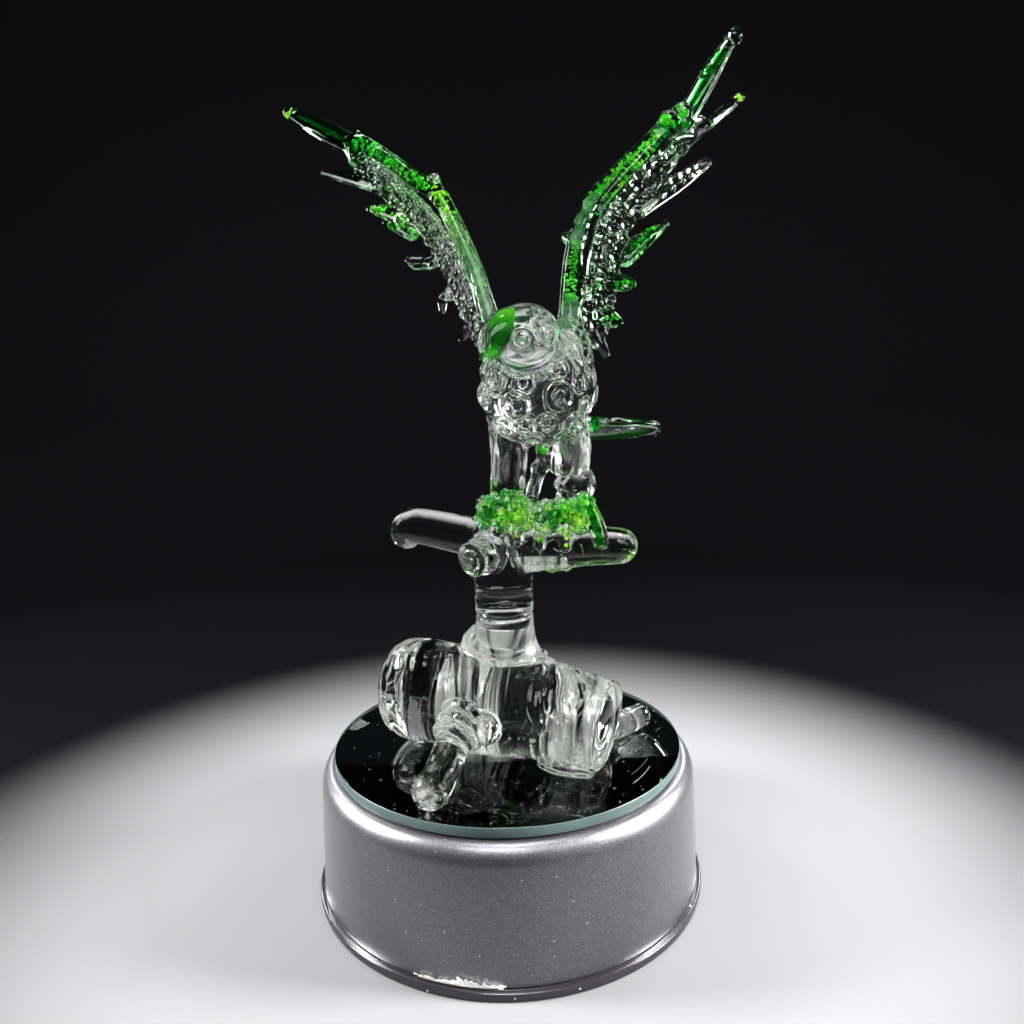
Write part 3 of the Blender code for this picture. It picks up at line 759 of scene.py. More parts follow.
rod(clay, bead)
LEFT_ARM = [
    (4, 0, PERCH_UP - 0.6, PERCH_RADIUS + 1.6),
    (-9.4, 0, PERCH_UP + 1.0, PERCH_RADIUS + 0.7),
    (-11.2, 0, PERCH_UP + 1.2, PERCH_RADIUS - 0.3),
    (-13, 0, PERCH_UP + 1.5, PERCH_RADIUS + 0.4),
    (-32, 0, PERCH_UP + 3.8, PERCH_RADIUS - 0.1),
    (-36.5, 0, PERCH_UP + 2.6, PERCH_RADIUS - 0.4),
    (-37.6, 0, PERCH_UP - 1.2, PERCH_RADIUS - 1.6),
]
RIGHT_ARM = [
    (-2, 0, PERCH_UP - 0.6, PERCH_RADIUS + 1.4),
    (16, 0, PERCH_UP - 0.3, PERCH_RADIUS + 1.2),
    (28, 0, PERCH_UP + 0.7, PERCH_RADIUS + 0.3),
    (36, 0, PERCH_UP + 1.3, PERCH_RADIUS - 0.2),
    (40.5, 0, PERCH_UP + 1.5, PERCH_RADIUS - 0.6),
]
rod(clay, LEFT_ARM, ends=(1.0, 0.6))
rod(clay, RIGHT_ARM)
# Where the arm's underside sagged into a row of soft ridges
for ridge in range(9):
    reach = 3.0 + 2.5 * ridge
    sag = PERCH_UP - 7.3 + 0.18 * ridge
    rod(clay, [(reach, 5.2, sag + 3.2, 1.0), (reach + 0.4, 2.8, sag, 1.7 + 0.4 * math.sin(2.3 * ridge)),
               (reach, -2.2, sag, 1.4)])
rod(clay, [
    (1, 0, PERCH_UP - 0.4, PERCH_RADIUS + 1.2),
    (0.2, 5.4, PERCH_UP - 0.9, PERCH_RADIUS + 1.0),
    (0.0, 6.9, PERCH_UP - 1.0, PERCH_RADIUS - 0.4),
    (-0.4, 8.6, PERCH_UP - 1.2, PERCH_RADIUS + 0.7),
    (-0.7, 10.4, PERCH_UP - 1.3, PERCH_RADIUS + 0.6),
    (-0.9, 11.8, PERCH_UP - 1.5, PERCH_RADIUS - 0.7),
    (-1.2, 13.4, PERCH_UP - 1.7, PERCH_RADIUS + 0.1),
    (-2.4, 18.5, PERCH_UP - 2.2, PERCH_RADIUS - 1.0),
], ends=(1.0, 0.1))

# The legs: two thick rods run down from the body, with strands drawn along them and a ring at the right ankle.
# The feet are gathers of green glass crushed onto the perch, with toes pulled down over its front.
GRIP = PERCH_UP + PERCH_RADIUS
rod(clay, [
    (LEG_LEFT + 1, -1, BODY.z - 10, LEG_RADIUS + 0.6),
    (LEG_LEFT, -0.5, BODY.z - 19, LEG_RADIUS - 0.2),
    (LEG_LEFT - 0.3, 0, BODY.z - 26, LEG_RADIUS - 0.8),
    (LEG_LEFT - 0.5, 0.5, BODY.z - 32, LEG_RADIUS - 0.6),
    (LEG_LEFT - 0.5, 1, GRIP, LEG_RADIUS + 0.2),
])
rod(clay, [
    (LEG_RIGHT - 2, -1, BODY.z - 10, LEG_RADIUS - 0.2),
    (LEG_RIGHT - 0.2, -0.5, BODY.z - 18, LEG_RADIUS - 0.6),
    (LEG_RIGHT, 0, BODY.z - 24, LEG_RADIUS - 1.3),
    (LEG_RIGHT + 0.4, 0, BODY.z - 28.6, LEG_RADIUS + 0.3),
    (LEG_RIGHT + 0.2, 0, BODY.z - 31.6, LEG_RADIUS - 0.2),
    (LEG_RIGHT - 0.5, 1, BODY.z - 34, LEG_RADIUS - 1.4),
    (LEG_RIGHT - 0.8, 1, GRIP - 1, LEG_RADIUS + 0.4),
])
for leg, foot_of_strand in ((LEG_LEFT, 11.0), (LEG_RIGHT - 0.4, 19.0)):
    for strand in range(-2, 3):
        turn = 0.62 * strand
        reach = LEG_RADIUS - 1.1
        rod(clay, [
            (leg + reach * math.sin(turn), reach * math.cos(turn) - 0.6, BODY.z - 10, 1.9),
            (leg + reach * math.sin(turn + 0.16), reach * math.cos(turn) - 0.3, BODY.z - 18, 1.6),
            (leg - 0.3 + reach * math.sin(turn), reach * math.cos(turn), GRIP + foot_of_strand, 1.3),
        ])
lump(clay, (LEG_RIGHT + 4.0, 1.5, BODY.z - 27.4), 2.8, 3.2, 3.0)
lump(clay, (LEG_RIGHT - 0.5, 3.6, BODY.z - 18.5), 3.4, 2.6, 6.0)
# Each gather of a foot: middle, half sizes and its glass
GATHERS = [
    ((-1.2, 4.6, GRIP + 5.6), (5.0, 4.4, 5.4), "emerald"), ((4.4, 3.2, GRIP + 8.4), (4.3, 4.2, 4.6), "emerald"),
    ((8.6, 4.6, GRIP + 4.2), (5.8, 5.0, 5.8), "lime"), ((-3.6, 2.6, GRIP + 2.4), (3.9, 4.6, 4.2), "emerald"),
    ((3.6, 6.0, GRIP + 2.6), (4.6, 3.6, 4.2), "lime"), ((3.4, -2.6, GRIP + 3.4), (7.0, 5.8, 5.2), "leaf"),
    ((19.8, 4.0, GRIP + 3.8), (5.6, 5.0, 5.8), "emerald"), ((24.6, 4.4, GRIP + 4.6), (5.4, 4.8, 5.4), "leaf"),
    ((28.4, 3.6, GRIP + 3.6), (4.6, 4.6, 4.8), "lime"), ((30.6, 5.0, GRIP + 8.8), (2.9, 3.0, 3.6), "leaf"),
    ((24.0, -2.6, GRIP + 3.4), (7.4, 5.8, 5.2), "leaf"),
]
TOES = [
    ([(8.6, 7.0, GRIP + 1.6, 2.6), (8.8, 9.0, GRIP - 1.8, 2.4), (8.7, 8.8, GRIP - 3.6, 2.1)], "lime"),
    ([(2.6, 7.0, GRIP + 1.4, 2.6), (2.2, 8.8, GRIP - 0.8, 2.2)], "emerald"),
    ([(-4.4, 5.0, GRIP + 1.6, 2.4), (-5.0, 7.2, GRIP - 1.2, 2.1)], "emerald"),
    ([(18.2, 6.8, GRIP + 2.2, 2.4), (17.2, 9.0, GRIP - 1.6, 2.1), (16.9, 8.9, GRIP - 4.4, 2.0)], "lime"),
    ([(25.2, 7.0, GRIP + 2.4, 2.6), (25.6, 9.0, GRIP - 1.6, 2.3), (25.6, 8.9, GRIP - 4.0, 2.2)], "lime"),
    ([(3.4, -6.0, GRIP + 2.0, 2.6), (3.4, -9.5, GRIP + 0.8, 2.4), (3.4, -11.0, GRIP - 2.0, 2.1)], "leaf"),
    ([(24.0, -6.0, GRIP + 2.0, 2.6), (24.0, -9.5, GRIP + 0.8, 2.4), (24.0, -11.0, GRIP - 2.0, 2.1)], "leaf"),
]
LEAF_TOE = [(31.4, 5.4, GRIP + 10.0, 1.7, 1.5), (34.4, 7.6, GRIP + 5.6, 2.7, 1.8), (36.6, 8.6, GRIP, 2.9, 1.8),
            (37.2, 8.5, GRIP - 3.0, 2.3, 1.6)]
dice = random.Random(7)
grains = []
grain_radii = []
for centre, axes, glass in GATHERS:
    lump(clay, centre, *axes)
    for count in range(34):
        level = dice.uniform(-0.4, 0.95)
        spin = dice.uniform(-0.4, math.pi + 0.4)
        out = math.sqrt(1 - level * level)
        grains.append(place(centre[0] + axes[0] * out * math.cos(spin),
                            centre[1] + axes[1] * out * math.sin(spin), centre[2] + axes[2] * level))
        grain_radii.append(dice.uniform(0.65, 1.15) * PART)
for rows, glass in TOES:
    rod(clay, rows)
limb(clay, LEAF_TOE, wide=heading(1.0, 0.2, 0.25))
clay.add_mesh(drops(grains, grain_radii, spread=0.2, flattening=0.85, roundness=2, seed=3))
DRIP = [(11.8, -9, BODY.z - 14, 2.6), (11.7, -9, BODY.z - 19.7, 2.3), (11.2, -8.4, BODY.z - 23, 2.0),
        (10.8, -8, BODY.z - 25.4, 3.0), (10.2, -6.5, BODY.z - 28.6, 2.3), (10.0, -2.5, BODY.z - 34.7, 2.2),
        (8.6, -2, GRIP, 2.6)]
rod(clay, DRIP)
lump(clay, (14.6, -8, BODY.z - 23.4), 3.1)
lump(clay, (11.7, -8.6, BODY.z - 19.7), 2.6)

# The body: a clear ball with rings of molten drops set on it, each pressed in its middle while soft. The neck
# and the clear head grow out of it, with an eye that is one more drop, and the beak cased over green.
lump(clay, BODY, *BODY_SIZE)
# The drops that show on the breast, as a direction from the body's middle and a radius
BREAST_DROPS = [
    ((0.10, 0.97, -0.22), 5.0), ((-0.28, 0.94, 0.20), 4.2), ((0.23, 0.96, 0.16), 3.9),
    ((0.75, 0.65, -0.09), 5.2), ((0.67, 0.64, 0.38), 4.2), ((-0.63, 0.77, -0.04), 3.9),
    ((-0.23, 0.78, -0.58), 3.9), ((0.16, 0.80, -0.58), 4.0), ((0.50, 0.68, -0.54), 3.9),
    ((0.76, 0.33, -0.57), 4.0), ((0.94, 0.10, -0.31), 4.0), ((-0.66, 0.62, 0.44), 4.0),
    ((0.17, 0.55, -0.82), 3.8), ((0.46, 0.85, 0.36), 3.2), ((0.95, 0.30, 0.12), 3.7),
]
DROP_COUNT = 84
DROP_APART = 0.40
SPREAD_RADIUS = 3.8
DROP_RISE = 0.24
pressed_drops = [(Vector(direction).normalized(), radius) for direction, radius in BREAST_DROPS]
golden = math.pi * (3 - math.sqrt(5))
for i in range(DROP_COUNT):
    level = 1 - 2 * (i + 0.5) / DROP_COUNT
    out = math.sqrt(1 - level * level)
    normal = Vector((out * math.cos(golden * i + 0.4), level, out * math.sin(golden * i + 0.4)))
    folded = normal.x > 0.35 and normal.z > 0.05 and -0.5 < normal.y < 0.5
    if not folded and all((normal - other).length > DROP_APART for other, radius in pressed_drops):
        pressed_drops.append((normal, SPREAD_RADIUS))


def on_body(direction, depth=0.0):
    """A point of the figure under the body's surface, in a direction from its middle."""
    normal = Vector(direction).normalized()
    return [BODY[axis] + normal[axis] * (BODY_SIZE[axis] - depth) for axis in range(3)]


drop_places = []
drop_radii = []
for normal, radius in pressed_drops:
    ball = radius * (1 + DROP_RISE ** 2) / (2 * DROP_RISE)
    drop_places.append(place(*on_body(normal, ball - DROP_RISE * radius)))
    drop_radii.append(ball * PART)
clay.add_mesh(drops(drop_places, drop_radii, spread=0.0, roundness=5, seed=5))
rod(clay, [(12.9, 2, BODY.z + 6, 12.5), (15.5, 11, BODY.z + 11, 10.8), (17.2, 18, BODY.z + 15, 10.0)])
lump(clay, HEAD, HEAD_RADIUS, HEAD_RADIUS * 1.08, HEAD_RADIUS * 0.95)
BEAK = [(15.6, 23.5, 142.0, 6.6), (14.0, 28.0, 141.4, 5.4), (12.4, 31.5, 137.6, 3.6), (11.6, 31.6, 133.6, 1.5)]
rod(clay, BEAK)
# The eye and the ring below it: where each drop touches the head, which way it looks and its radius
HEAD_DROPS = [((26.2, 25.0, 141.4), (0.82, 0.53, 0.19), 3.9), ((21.7, 29.6, 139.2), (0.38, 0.93, -0.01), 3.3)]
lump(clay, (24.6, 24.4, 141.4), 2.9, 3.0, 4.6)
lump(clay, (23.5, 1.0, 136.6), 5.2, 6.5, 6.0)
rod(clay, [(18.0, -2.0, 142.6, 2.6), (21.0, -1.0, 143.6, 2.3), (25.2, -1.0, 143.2, 2.3),
           (28.4, -1.4, 139.8, 2.2), (29.6, -2.0, 134.4, 2.0), (29.8, -3.0, 129.0, 1.5)])
rod(clay, [(19.6, 6.0, 141.4, 2.2), (23.0, 5.0, 140.2, 2.1), (26.4, 3.0, 136.6, 2.0), (28.2, 1.0, 131.4, 1.5)])
for fold in range(5):
    back = 0.20 * fold
    rod(clay, [
        (*on_body((0.46, 0.62 - back, 0.80), 0.5), 1.2),
        (*on_body((0.74, 0.50 - back, 0.52), 0.5), 1.6),
        (*on_body((0.92, 0.44 - back, 0.22), 0.6), 1.5),
        (*on_body((0.97, 0.42 - back, -0.06), 0.9), 1.1),
    ])

# The tail: a green gather pulled out flat behind, its two faces squeezed between ribbed jaws so that rows of
# chevrons stand on them, with a bead left at its tip.
TAIL_ACROSS = Vector((0.75, 0.55, 0.12)).normalized()
TAIL = []
for share, width, thick in ((-0.25, 7.0, 6.3), (0.1, 9.0, 4.4), (0.45, TAIL_WIDTH, 3.6),
                            (0.75, TAIL_WIDTH * 0.82, 3.0), (1.0, 3.4, 2.4)):
    TAIL.append((*(TAIL_ROOT + TAIL_RUN * share), width, thick))
limb(clay, TAIL, wide=heading(*TAIL_ACROSS))
for rib in range(8):
    share = 0.22 + 0.095 * rib
    reach = TAIL_ACROSS * TAIL_WIDTH * (0.86 - 0.075 * rib)
    for face in (-1, 1):
        ridge = TAIL_ROOT + TAIL_RUN * (share - 0.08) + Vector((0, 0, face * (3.5 - 0.14 * rib)))
        tips = [(*(TAIL_ROOT + TAIL_RUN * share + reach * end), 0.9) for end in (-1, 1)]
        rod(clay, [tips[0], (*ridge, 1.0), tips[1]])
lump(clay, TAIL_ROOT + TAIL_RUN, 2.9)

# The wings: each is a leading rod of clear glass over green, a band of small drops pressed on behind it, and
# feathers pulled from the band's edge one after the other, clear or green, all fused on hot.


def over_body(*rows):
    """Rows of a wing, with their heights counted from the mirror."""
    return [(along, forward, BODY.z + above, *rest) for along, forward, above, *rest in rows]


# A lead's rows are (along, forward, above the body's middle, radius), and a band's have a half width and a half
# thickness. A feather, outermost first, is root, middle, tip, half width, half thickness and its glass.
RIGHT_LEAD = over_body(
    (19, -4, 9, 5.5), (22.8, -5, 20, 4.2), (23.4, -6, 29, 3.8), (24.4, -6.5, 40, 3.7),
    (26.9, -7.5, 49, 3.7), (30.2, -9, 56.5, 3.6), (37.6, -11, 64.6, 3.2), (47, -13, 73, 2.9),
    (53, -15, 78, 3.7),
)
RIGHT_BAND = over_body(
    (26.5, -9, 15, 5, 3.2), (29.5, -9, 24, 6.2, 3.2), (30.3, -10, 36, 6.4, 3), (33, -11, 47, 6.4, 3),
    (37.8, -13, 56, 6.2, 2.8), (44.6, -14.5, 64, 5.6, 2.6), (51.5, -16, 71.5, 4.6, 2.4),
)
RIGHT_FEATHERS = [
    ((55, -16, 77), (62.4, -22, 92), (67.9, -28, 104), 3.0, 2.2, "emerald"),
    ((54, -18, 73), (62.5, -27, 81.5), (69.3, -34, 88), 2.8, 1.7, "clear"),
    ((48, -17, 67), (56, -23, 75), (60, -27, 79), 2.5, 1.7, "clear"),
    ((41, -15, 54), (52, -23, 62.5), (60, -30, 69), 3.6, 1.8, "clear"),
    ((38, -14, 40), (44, -19, 47), (48.2, -24, 50.6), 3.3, 2.0, "leaf"),
    ((33.5, -12, 33), (36.8, -16, 33), (38.8, -20, 32.8), 3.4, 1.9, "leaf"),
    ((31.5, -11, 23), (33.6, -15, 22), (34.8, -18, 21), 3.6, 2.2, "emerald"),
    ((29, -9, 18), (30.8, -12, 14), (31.8, -14, 11), 2.7, 1.8, "clear"),
]
LEFT_LEAD = over_body(
    (3, -8, 3, 5), (-4, -8, 16, 4), (-6.6, -8, 25, 3.4), (-8.6, -8.5, 31, 3.2), (-11, -9, 38, 3.1),
    (-16.4, -9.5, 50, 3), (-22.4, -10, 61.5, 3), (-27, -10.5, 67, 3.2), (-34, -11, 71, 2.9),
    (-43.6, -12, 78, 2.8), (-54, -12.5, 84, 3.4), (-59, -13, 86, 3.4),
)
LEFT_BAND = over_body(
    (-4, -11, 7, 4.2, 3), (-10.6, -12, 18, 5.4, 3), (-17, -13, 31, 6, 2.9), (-23.5, -14, 44, 6.2, 2.8),
    (-31, -14.5, 56, 6.4, 2.8), (-40, -14.5, 65, 6.2, 2.6), (-51, -14, 74, 5.6, 2.6),
    (-57.5, -13.5, 80, 4.6, 2.4),
)
LEFT_FEATHERS = [
    ((-56, -13, 83), (-73, -14, 93), (-87, -14, 100.6), 4.0, 2.2, "emerald"),
    ((-50, -15, 71), (-64, -18, 76), (-77, -20, 79.6), 2.7, 1.7, "emerald"),
    ((-43, -15, 60), (-53, -18, 64), (-59, -21, 65.2), 2.5, 1.7, "lime"),
    ((-38, -15, 54), (-46, -18, 58), (-52.5, -21, 60), 2.5, 1.7, "leaf"),
    ((-30, -14, 44), (-38, -18, 45), (-43.6, -21, 46.4), 3.0, 1.7, "clear"),
    ((-24, -14, 33), (-28, -17, 32), (-30.2, -20, 28.4), 2.6, 1.9, "clear"),
    ((-16, -13, 21), (-19.5, -16, 19), (-21.8, -18, 17.6), 2.4, 1.9, "clear"),
    ((-10, -12, 14), (-12.6, -14, 12), (-14.4, -16, 11.4), 2.2, 1.8, "lime"),
]
BAND_LANES = (-0.78, -0.26, 0.26, 0.78)
BAND_STEP = 2.9


def feather_rows(feather):
    """The rows of a drawn feather, widest past its middle and pointed at its tip."""
    root, middle, tip = over_body(*feather[:3])
    half_width, half_thickness = feather[3:5]
    return [
        (*root, half_width * 1.05, half_thickness * 1.2),
        (*middle, half_width, half_thickness),
        (*tip, half_width * 0.5, half_thickness * 0.8),
    ]


def wing(lead, band, feathers, outward, drop_size, seed):
    """A raised wing: the leading rod, the band of pressed drops and the feathers pulled from its edge."""
    chord = Vector((outward * 0.8, -0.55, -0.2)).normalized()
    rod(clay, lead)
    limb(clay, [(*row[:4], row[4] * 0.66) for row in band], wide=heading(*chord))
    roll = random.Random(seed)
    read = smooth_rows(band, 12)
    places = []
    radii = []
    walked = BAND_STEP
    for before, row in zip(read, read[1:]):
        walked += (Vector(row[:3]) - Vector(before[:3])).length
        if walked < BAND_STEP:
            continue
        walked -= BAND_STEP
        run = (Vector(row[:3]) - Vector(before[:3])).normalized()
        for number, lane in enumerate(BAND_LANES):
            for face in (-1, 1):
                side = lane + roll.uniform(-0.08, 0.08)
                slip = roll.uniform(-0.5, 0.5) + (number % 2) * BAND_STEP / 2
                rise = row[4] * (0.60 - 0.30 * side * side) * face
                spot = Vector(row[:3]) + chord * row[3] * side + run * slip + Vector((0, rise, 0))
                places.append(place(*spot))
                radii.append(drop_size * roll.uniform(0.8, 1.15) * PART)
    clay.add_mesh(drops(places, radii, spread=0.05, flattening=0.9, roundness=3, seed=seed))
    for feather in feathers:
        limb(clay, feather_rows(feather), wide=heading(-outward * 0.35, -0.5, 0.8))


wing(RIGHT_LEAD, RIGHT_BAND, RIGHT_FEATHERS, 1.0, 1.85, 11)
wing(LEFT_LEAD, LEFT_BAND, LEFT_FEATHERS, -1.0, 1.6, 23)
# A smooth rod laid along the seam of the right wing, and the ring that joins the left wing's long feather
SEAM_ROD = over_body((27.6, -4.6, 34, 1.3), (29.3, -4.4, 43.3, 1.5), (32.7, -5.4, 54.0, 1.6),
                     (37.8, -7.4, 61.0, 1.6), (44.6, -10.0, 68.2, 1.6), (51.0, -12.4, 74.6, 1.5))
WELD_RING = over_body((-56.4, -11.6, 88.0, 1.8), (-58.2, -11.4, 84.0, 2.3), (-58.4, -11.6, 79.6, 1.8))
rod(clay, SEAM_ROD)
rod(clay, WELD_RING)
# Small lumps left where the flame touched: along, forward, above, radius and glass
WING_LUMPS = over_body(
    (51.9, -13.6, 78.2, 3.3, "leaf"), (55.4, -14.4, 80.3, 3.0, "leaf"), (56.2, -14.6, 77.0, 2.5, "emerald"),
    (22.4, -5.6, 46.5, 1.9, "clear"), (62.0, -22.6, 92.6, 2.9, "emerald"), (67.9, -27.6, 103.2, 2.6, "clear"),
    (57.0, -18.4, 76.6, 2.6, "clear"), (-25.9, -9.4, 69.6, 2.3, "clear"), (-86.2, -14.0, 100.0, 2.3, "lime"),
    (-50.5, -11.6, 83.0, 2.6, "leaf"), (27.6, -7.0, 52.0, 2.4, "emerald"), (69.0, -33.6, 87.6, 1.7, "lime"),
)
for *spot, radius, glass in WING_LUMPS:
    lump(clay, spot, radius)

# Fusing: everything above is melted into one closed skin. Seams flow together as the surface pulls itself
# smooth, then the tools' marks are pressed in, and what rests on the mirror is flattened.
FUSE_GRAIN = 0.42 * MM
EAGLE_TRIANGLES = 194000
MELT_PASSES = 6
block = linked("soft_glass", clay.mesh())
fused = block.modifiers.new("fused", "REMESH")
fused.mode = "VOXEL"
fused.voxel_size = FUSE_GRAIN
eagle_mesh = baked(block)


def read_spots(mesh):
    """The mesh's points as an array."""
    spots = np.empty(len(mesh.vertices) * 3)
    mesh.vertices.foreach_get("co", spots)
    return spots.reshape(-1, 3)


def write_spots(mesh, spots):
    """Puts the points back, so that the mesh's normals follow."""
    mesh.vertices.foreach_set("co", spots.astype(np.float32).ravel())
    mesh.update()


def read_normals(mesh):
    """The mesh's normals at its points."""
    normals = np.empty(len(mesh.vertices) * 3)
    mesh.vertex_normals.foreach_get("vector", normals)
    return normals.reshape(-1, 3)


def edge_ends(mesh):
    """The points at the two ends of each edge."""
    ends = np.empty(len(mesh.edges) * 2, np.int32)
    mesh.edges.foreach_get("vertices", ends)
    return ends.reshape(-1, 2).T


def melted(mesh, passes, hollow_share, ridge_share):
    """Glass pulls its own surface smooth: hollows fill, and ridges are rounded but keep their volume."""
    count = len(mesh.vertices)
    first, second = edge_ends(mesh)
    degree = np.bincount(first, minlength=count) + np.bincount(second, minlength=count)
    spots = read_spots(mesh)
    for turn in range(passes):
        mean = np.empty_like(spots)
        for axis in range(3):
            mean[:, axis] = (np.bincount(first, weights=spots[second, axis], minlength=count)
                             + np.bincount(second, weights=spots[first, axis], minlength=count)) / degree
        pull = mean - spots
        if turn % 4 == 0:
            write_spots(mesh, spots)
            normals = read_normals(mesh)
        hollow = (pull * normals).sum(1) > 0
        ridge = ridge_share if turn % 2 == 0 else -ridge_share * 1.03
        spots += pull * np.where(hollow, hollow_share, ridge)[:, None]
    write_spots(mesh, spots)


melted(eagle_mesh, MELT_PASSES, 0.42, 0.5)
spots = read_spots(eagle_mesh)
normals = read_normals(eagle_mesh)
local = (spots - np.array(STAND)) @ np.array(TURN) / PART
along, forward, up = local[:, 0], -local[:, 1], local[:, 2]
figure = np.stack([along, forward, up], axis=1)
pushed = np.zeros(len(spots))


def groove(start, stop, width, depth):
    """A groove pressed along the line between two points of the figure."""
    start = np.array(start)
    run = np.array(stop) - start
    share = np.clip((figure - start) @ run / (run @ run), 0.0, 1.0)
    away = np.linalg.norm(figure - start - share[:, None] * run, axis=1)
    pushed[:] -= depth * np.exp(-(away / width) ** 2)


def press_drop(centre, outward, radius, share_pressed=1.0):
    """A drop's form pressed in at a point: a valley round it, a soft ring and a dimple in its middle."""
    offset = figure - np.array(centre)
    depth = offset @ np.array(outward)
    wide = np.linalg.norm(offset - depth[:, None] * np.array(outward), axis=1)
    near = (np.abs(depth) < radius) & (wide < radius * 1.3)
    share = wide[near] / radius
    ring = 0.16 * np.exp(-((share - 0.62) / 0.17) ** 2)
    dimple = 0.30 * np.exp(-(share / 0.34) ** 2) - 0.16 * np.exp(-(share / 0.15) ** 2)
    valley = 0.17 * np.exp(-((share - 1.0) / 0.12) ** 2)
    pushed[near] += radius * share_pressed * (ring - dimple - valley)


for number, (normal, radius) in enumerate(pressed_drops):
    outward = Vector(normal[axis] / BODY_SIZE[axis] for axis in range(3)).normalized()
    press_drop(on_body(normal), outward, radius, 1.0 if number < len(BREAST_DROPS) else 0.25)
for centre, outward, radius in HEAD_DROPS:
    press_drop(centre, Vector(outward).normalized(), radius)

# Pinch marks on the left of the log, and streaks drawn round its sleeve
for start, stop in (((-36.7, 6.3, 34.9), (-35.0, 12.8, 30.7)), ((-31.4, 4.2, 35.6), (-29.0, 12.8, 30.8)),
                    ((-33.8, 9.4, 33.4), (-32.6, 13.0, 30.6)), ((-26.4, 6.2, 34.9), (-24.9, 11.2, 32.2))):
    groove(start, stop, 1.0, 0.55)
round_log = np.hypot(forward, up - AXIS_UP)
sleeve = (along > SLEEVE[0]) & (along < SLEEVE[1])
sleeve &= (round_log > LOG_RADIUS - 1.5) & (round_log < LOG_RADIUS + 2)
swing = np.arctan2(forward[sleeve], up[sleeve] - AXIS_UP)
pushed[sleeve] += 0.05 * np.sin(along[sleeve] * 1.3 + np.sin(swing * 2.0))
# The legs were twisted while soft, which left them fluted and crumpled
for leg in (LEG_LEFT, LEG_RIGHT):
    soft = (np.hypot(along - leg, forward) < LEG_RADIUS + 3.0) & (up > GRIP + 9.0) & (up < BODY.z - 13.0)
    swing = np.arctan2(along[soft] - leg, forward[soft])
    rise = up[soft]
    flutes = np.sin(7.0 * swing + 1.6 * np.sin(rise * 0.42 + leg))
    pushed[soft] += 0.26 * flutes + 0.12 * np.sin(rise * 0.9 + 3.0 * swing)
# Ring marks on the end of the perch's stub, and the flat jaws' marks across the ribbed feather
stub_face = np.array((-2.4, 18.5, PERCH_UP - 2.2))
off_centre = np.linalg.norm(figure - stub_face, axis=1)
facing = (off_centre < PERCH_RADIUS - 0.8) & (forward > 17.6)
pushed[facing] += 0.30 * np.cos(off_centre[facing] * 2.3)
ribbed = smooth_rows(feather_rows(RIGHT_FEATHERS[3]), 12)
RIB_ACROSS = Vector((-0.35, -0.30, 0.89)).normalized()
RIB_OUT = Vector((0.30, 0.85, 0.42)).normalized()
for row in ribbed[7:20:3]:
    middle = Vector(row[:3]) + RIB_OUT * row[4]
    reach = RIB_ACROSS * row[3] * 0.55
    groove(middle - reach, middle + reach, 0.75, 0.75)

# The slow waver that hand-worked glass has all over
waver = np.random.default_rng(4)
for size, height in ((26.0, 0.06), (13.0, 0.01)):
    for wave in range(4):
        direction = waver.normal(size=3)
        direction *= math.tau / size / np.linalg.norm(direction)
        pushed += height * 0.5 * np.sin(local @ direction + waver.uniform(0, math.tau))
spots += normals * pushed[:, None] * PART
write_spots(eagle_mesh, spots)
melted(eagle_mesh, 2, 0.25, 0.25)
spots = read_spots(eagle_mesh)
spots[:, 2] = np.maximum(spots[:, 2], figure_low.z)
write_spots(eagle_mesh, spots)


def polished_normals(mesh, passes, limit):
    """The mesh's normals, evened out wherever neighbours differ by little, so that no grid shows."""
    count = len(mesh.vertices)
    first, second = edge_ends(mesh)
    normals = read_normals(mesh)
    for turn in range(passes):
        apart = 1.0 - (normals[first] * normals[second]).sum(1)
        weight = np.exp(-apart / limit)
        total = np.empty_like(normals)
        for axis in range(3):
            total[:, axis] = (normals[:, axis] + np.bincount(first, weight * normals[second, axis], count)
                              + np.bincount(second, weight * normals[first, axis], count))
        normals = total / np.linalg.norm(total, axis=1)[:, None]
    return normals


# The thinned mesh keeps the full one's normals, so that clear stretches don't show its triangles
POLISH_PASSES = 24
POLISH_LIMIT = 0.0022
polished = polished_normals(eagle_mesh, POLISH_PASSES, POLISH_LIMIT)
kept = eagle_mesh.attributes.new("kept_normal", "FLOAT_VECTOR", "POINT")
kept.data.foreach_set("vector", polished.astype(np.float32).ravel())
thick = linked("glass_thick", eagle_mesh)
thinned = thick.modifiers.new("thinned", "DECIMATE")
thinned.ratio = min(1.0, EAGLE_TRIANGLES / sum(len(face.vertices) - 2 for face in eagle_mesh.polygons))
glass_mesh = baked(thick)
glass_mesh.shade_smooth()
kept_normals = np.empty(len(glass_mesh.vertices) * 3, np.float32)
glass_mesh.attributes["kept_normal"].data.foreach_get("vector", kept_normals)
kept_normals = kept_normals.reshape(-1, 3)
kept_normals /= np.maximum(np.linalg.norm(kept_normals, axis=1), 1e-6)[:, None]
glass_mesh.attributes.remove(glass_mesh.attributes["kept_normal"])
glass_mesh.normals_split_custom_set_from_vertices(kept_normals)

# The tint of the skin: clear, with a breath of green in it, and green along the limbs that were drawn from
# green glass. Each stain is a point with a reach and a strength, and the strongest one there shows.
CLEAR = (0.994, 1.0, 0.991)
GREENS = {"emerald": (0.03, 0.42, 0.08), "leaf": (0.08, 0.66, 0.08), "lime": (0.38, 0.86, 0.12)}
stains = []


def stain(rows, glass, strength, reach):
    """Green along a limb: its rows' points, with a reach in times the limb's radius."""
    for row in smooth_rows(rows, 4):
        stains.append((row[:3], row[3] * reach, GREENS[glass], strength))


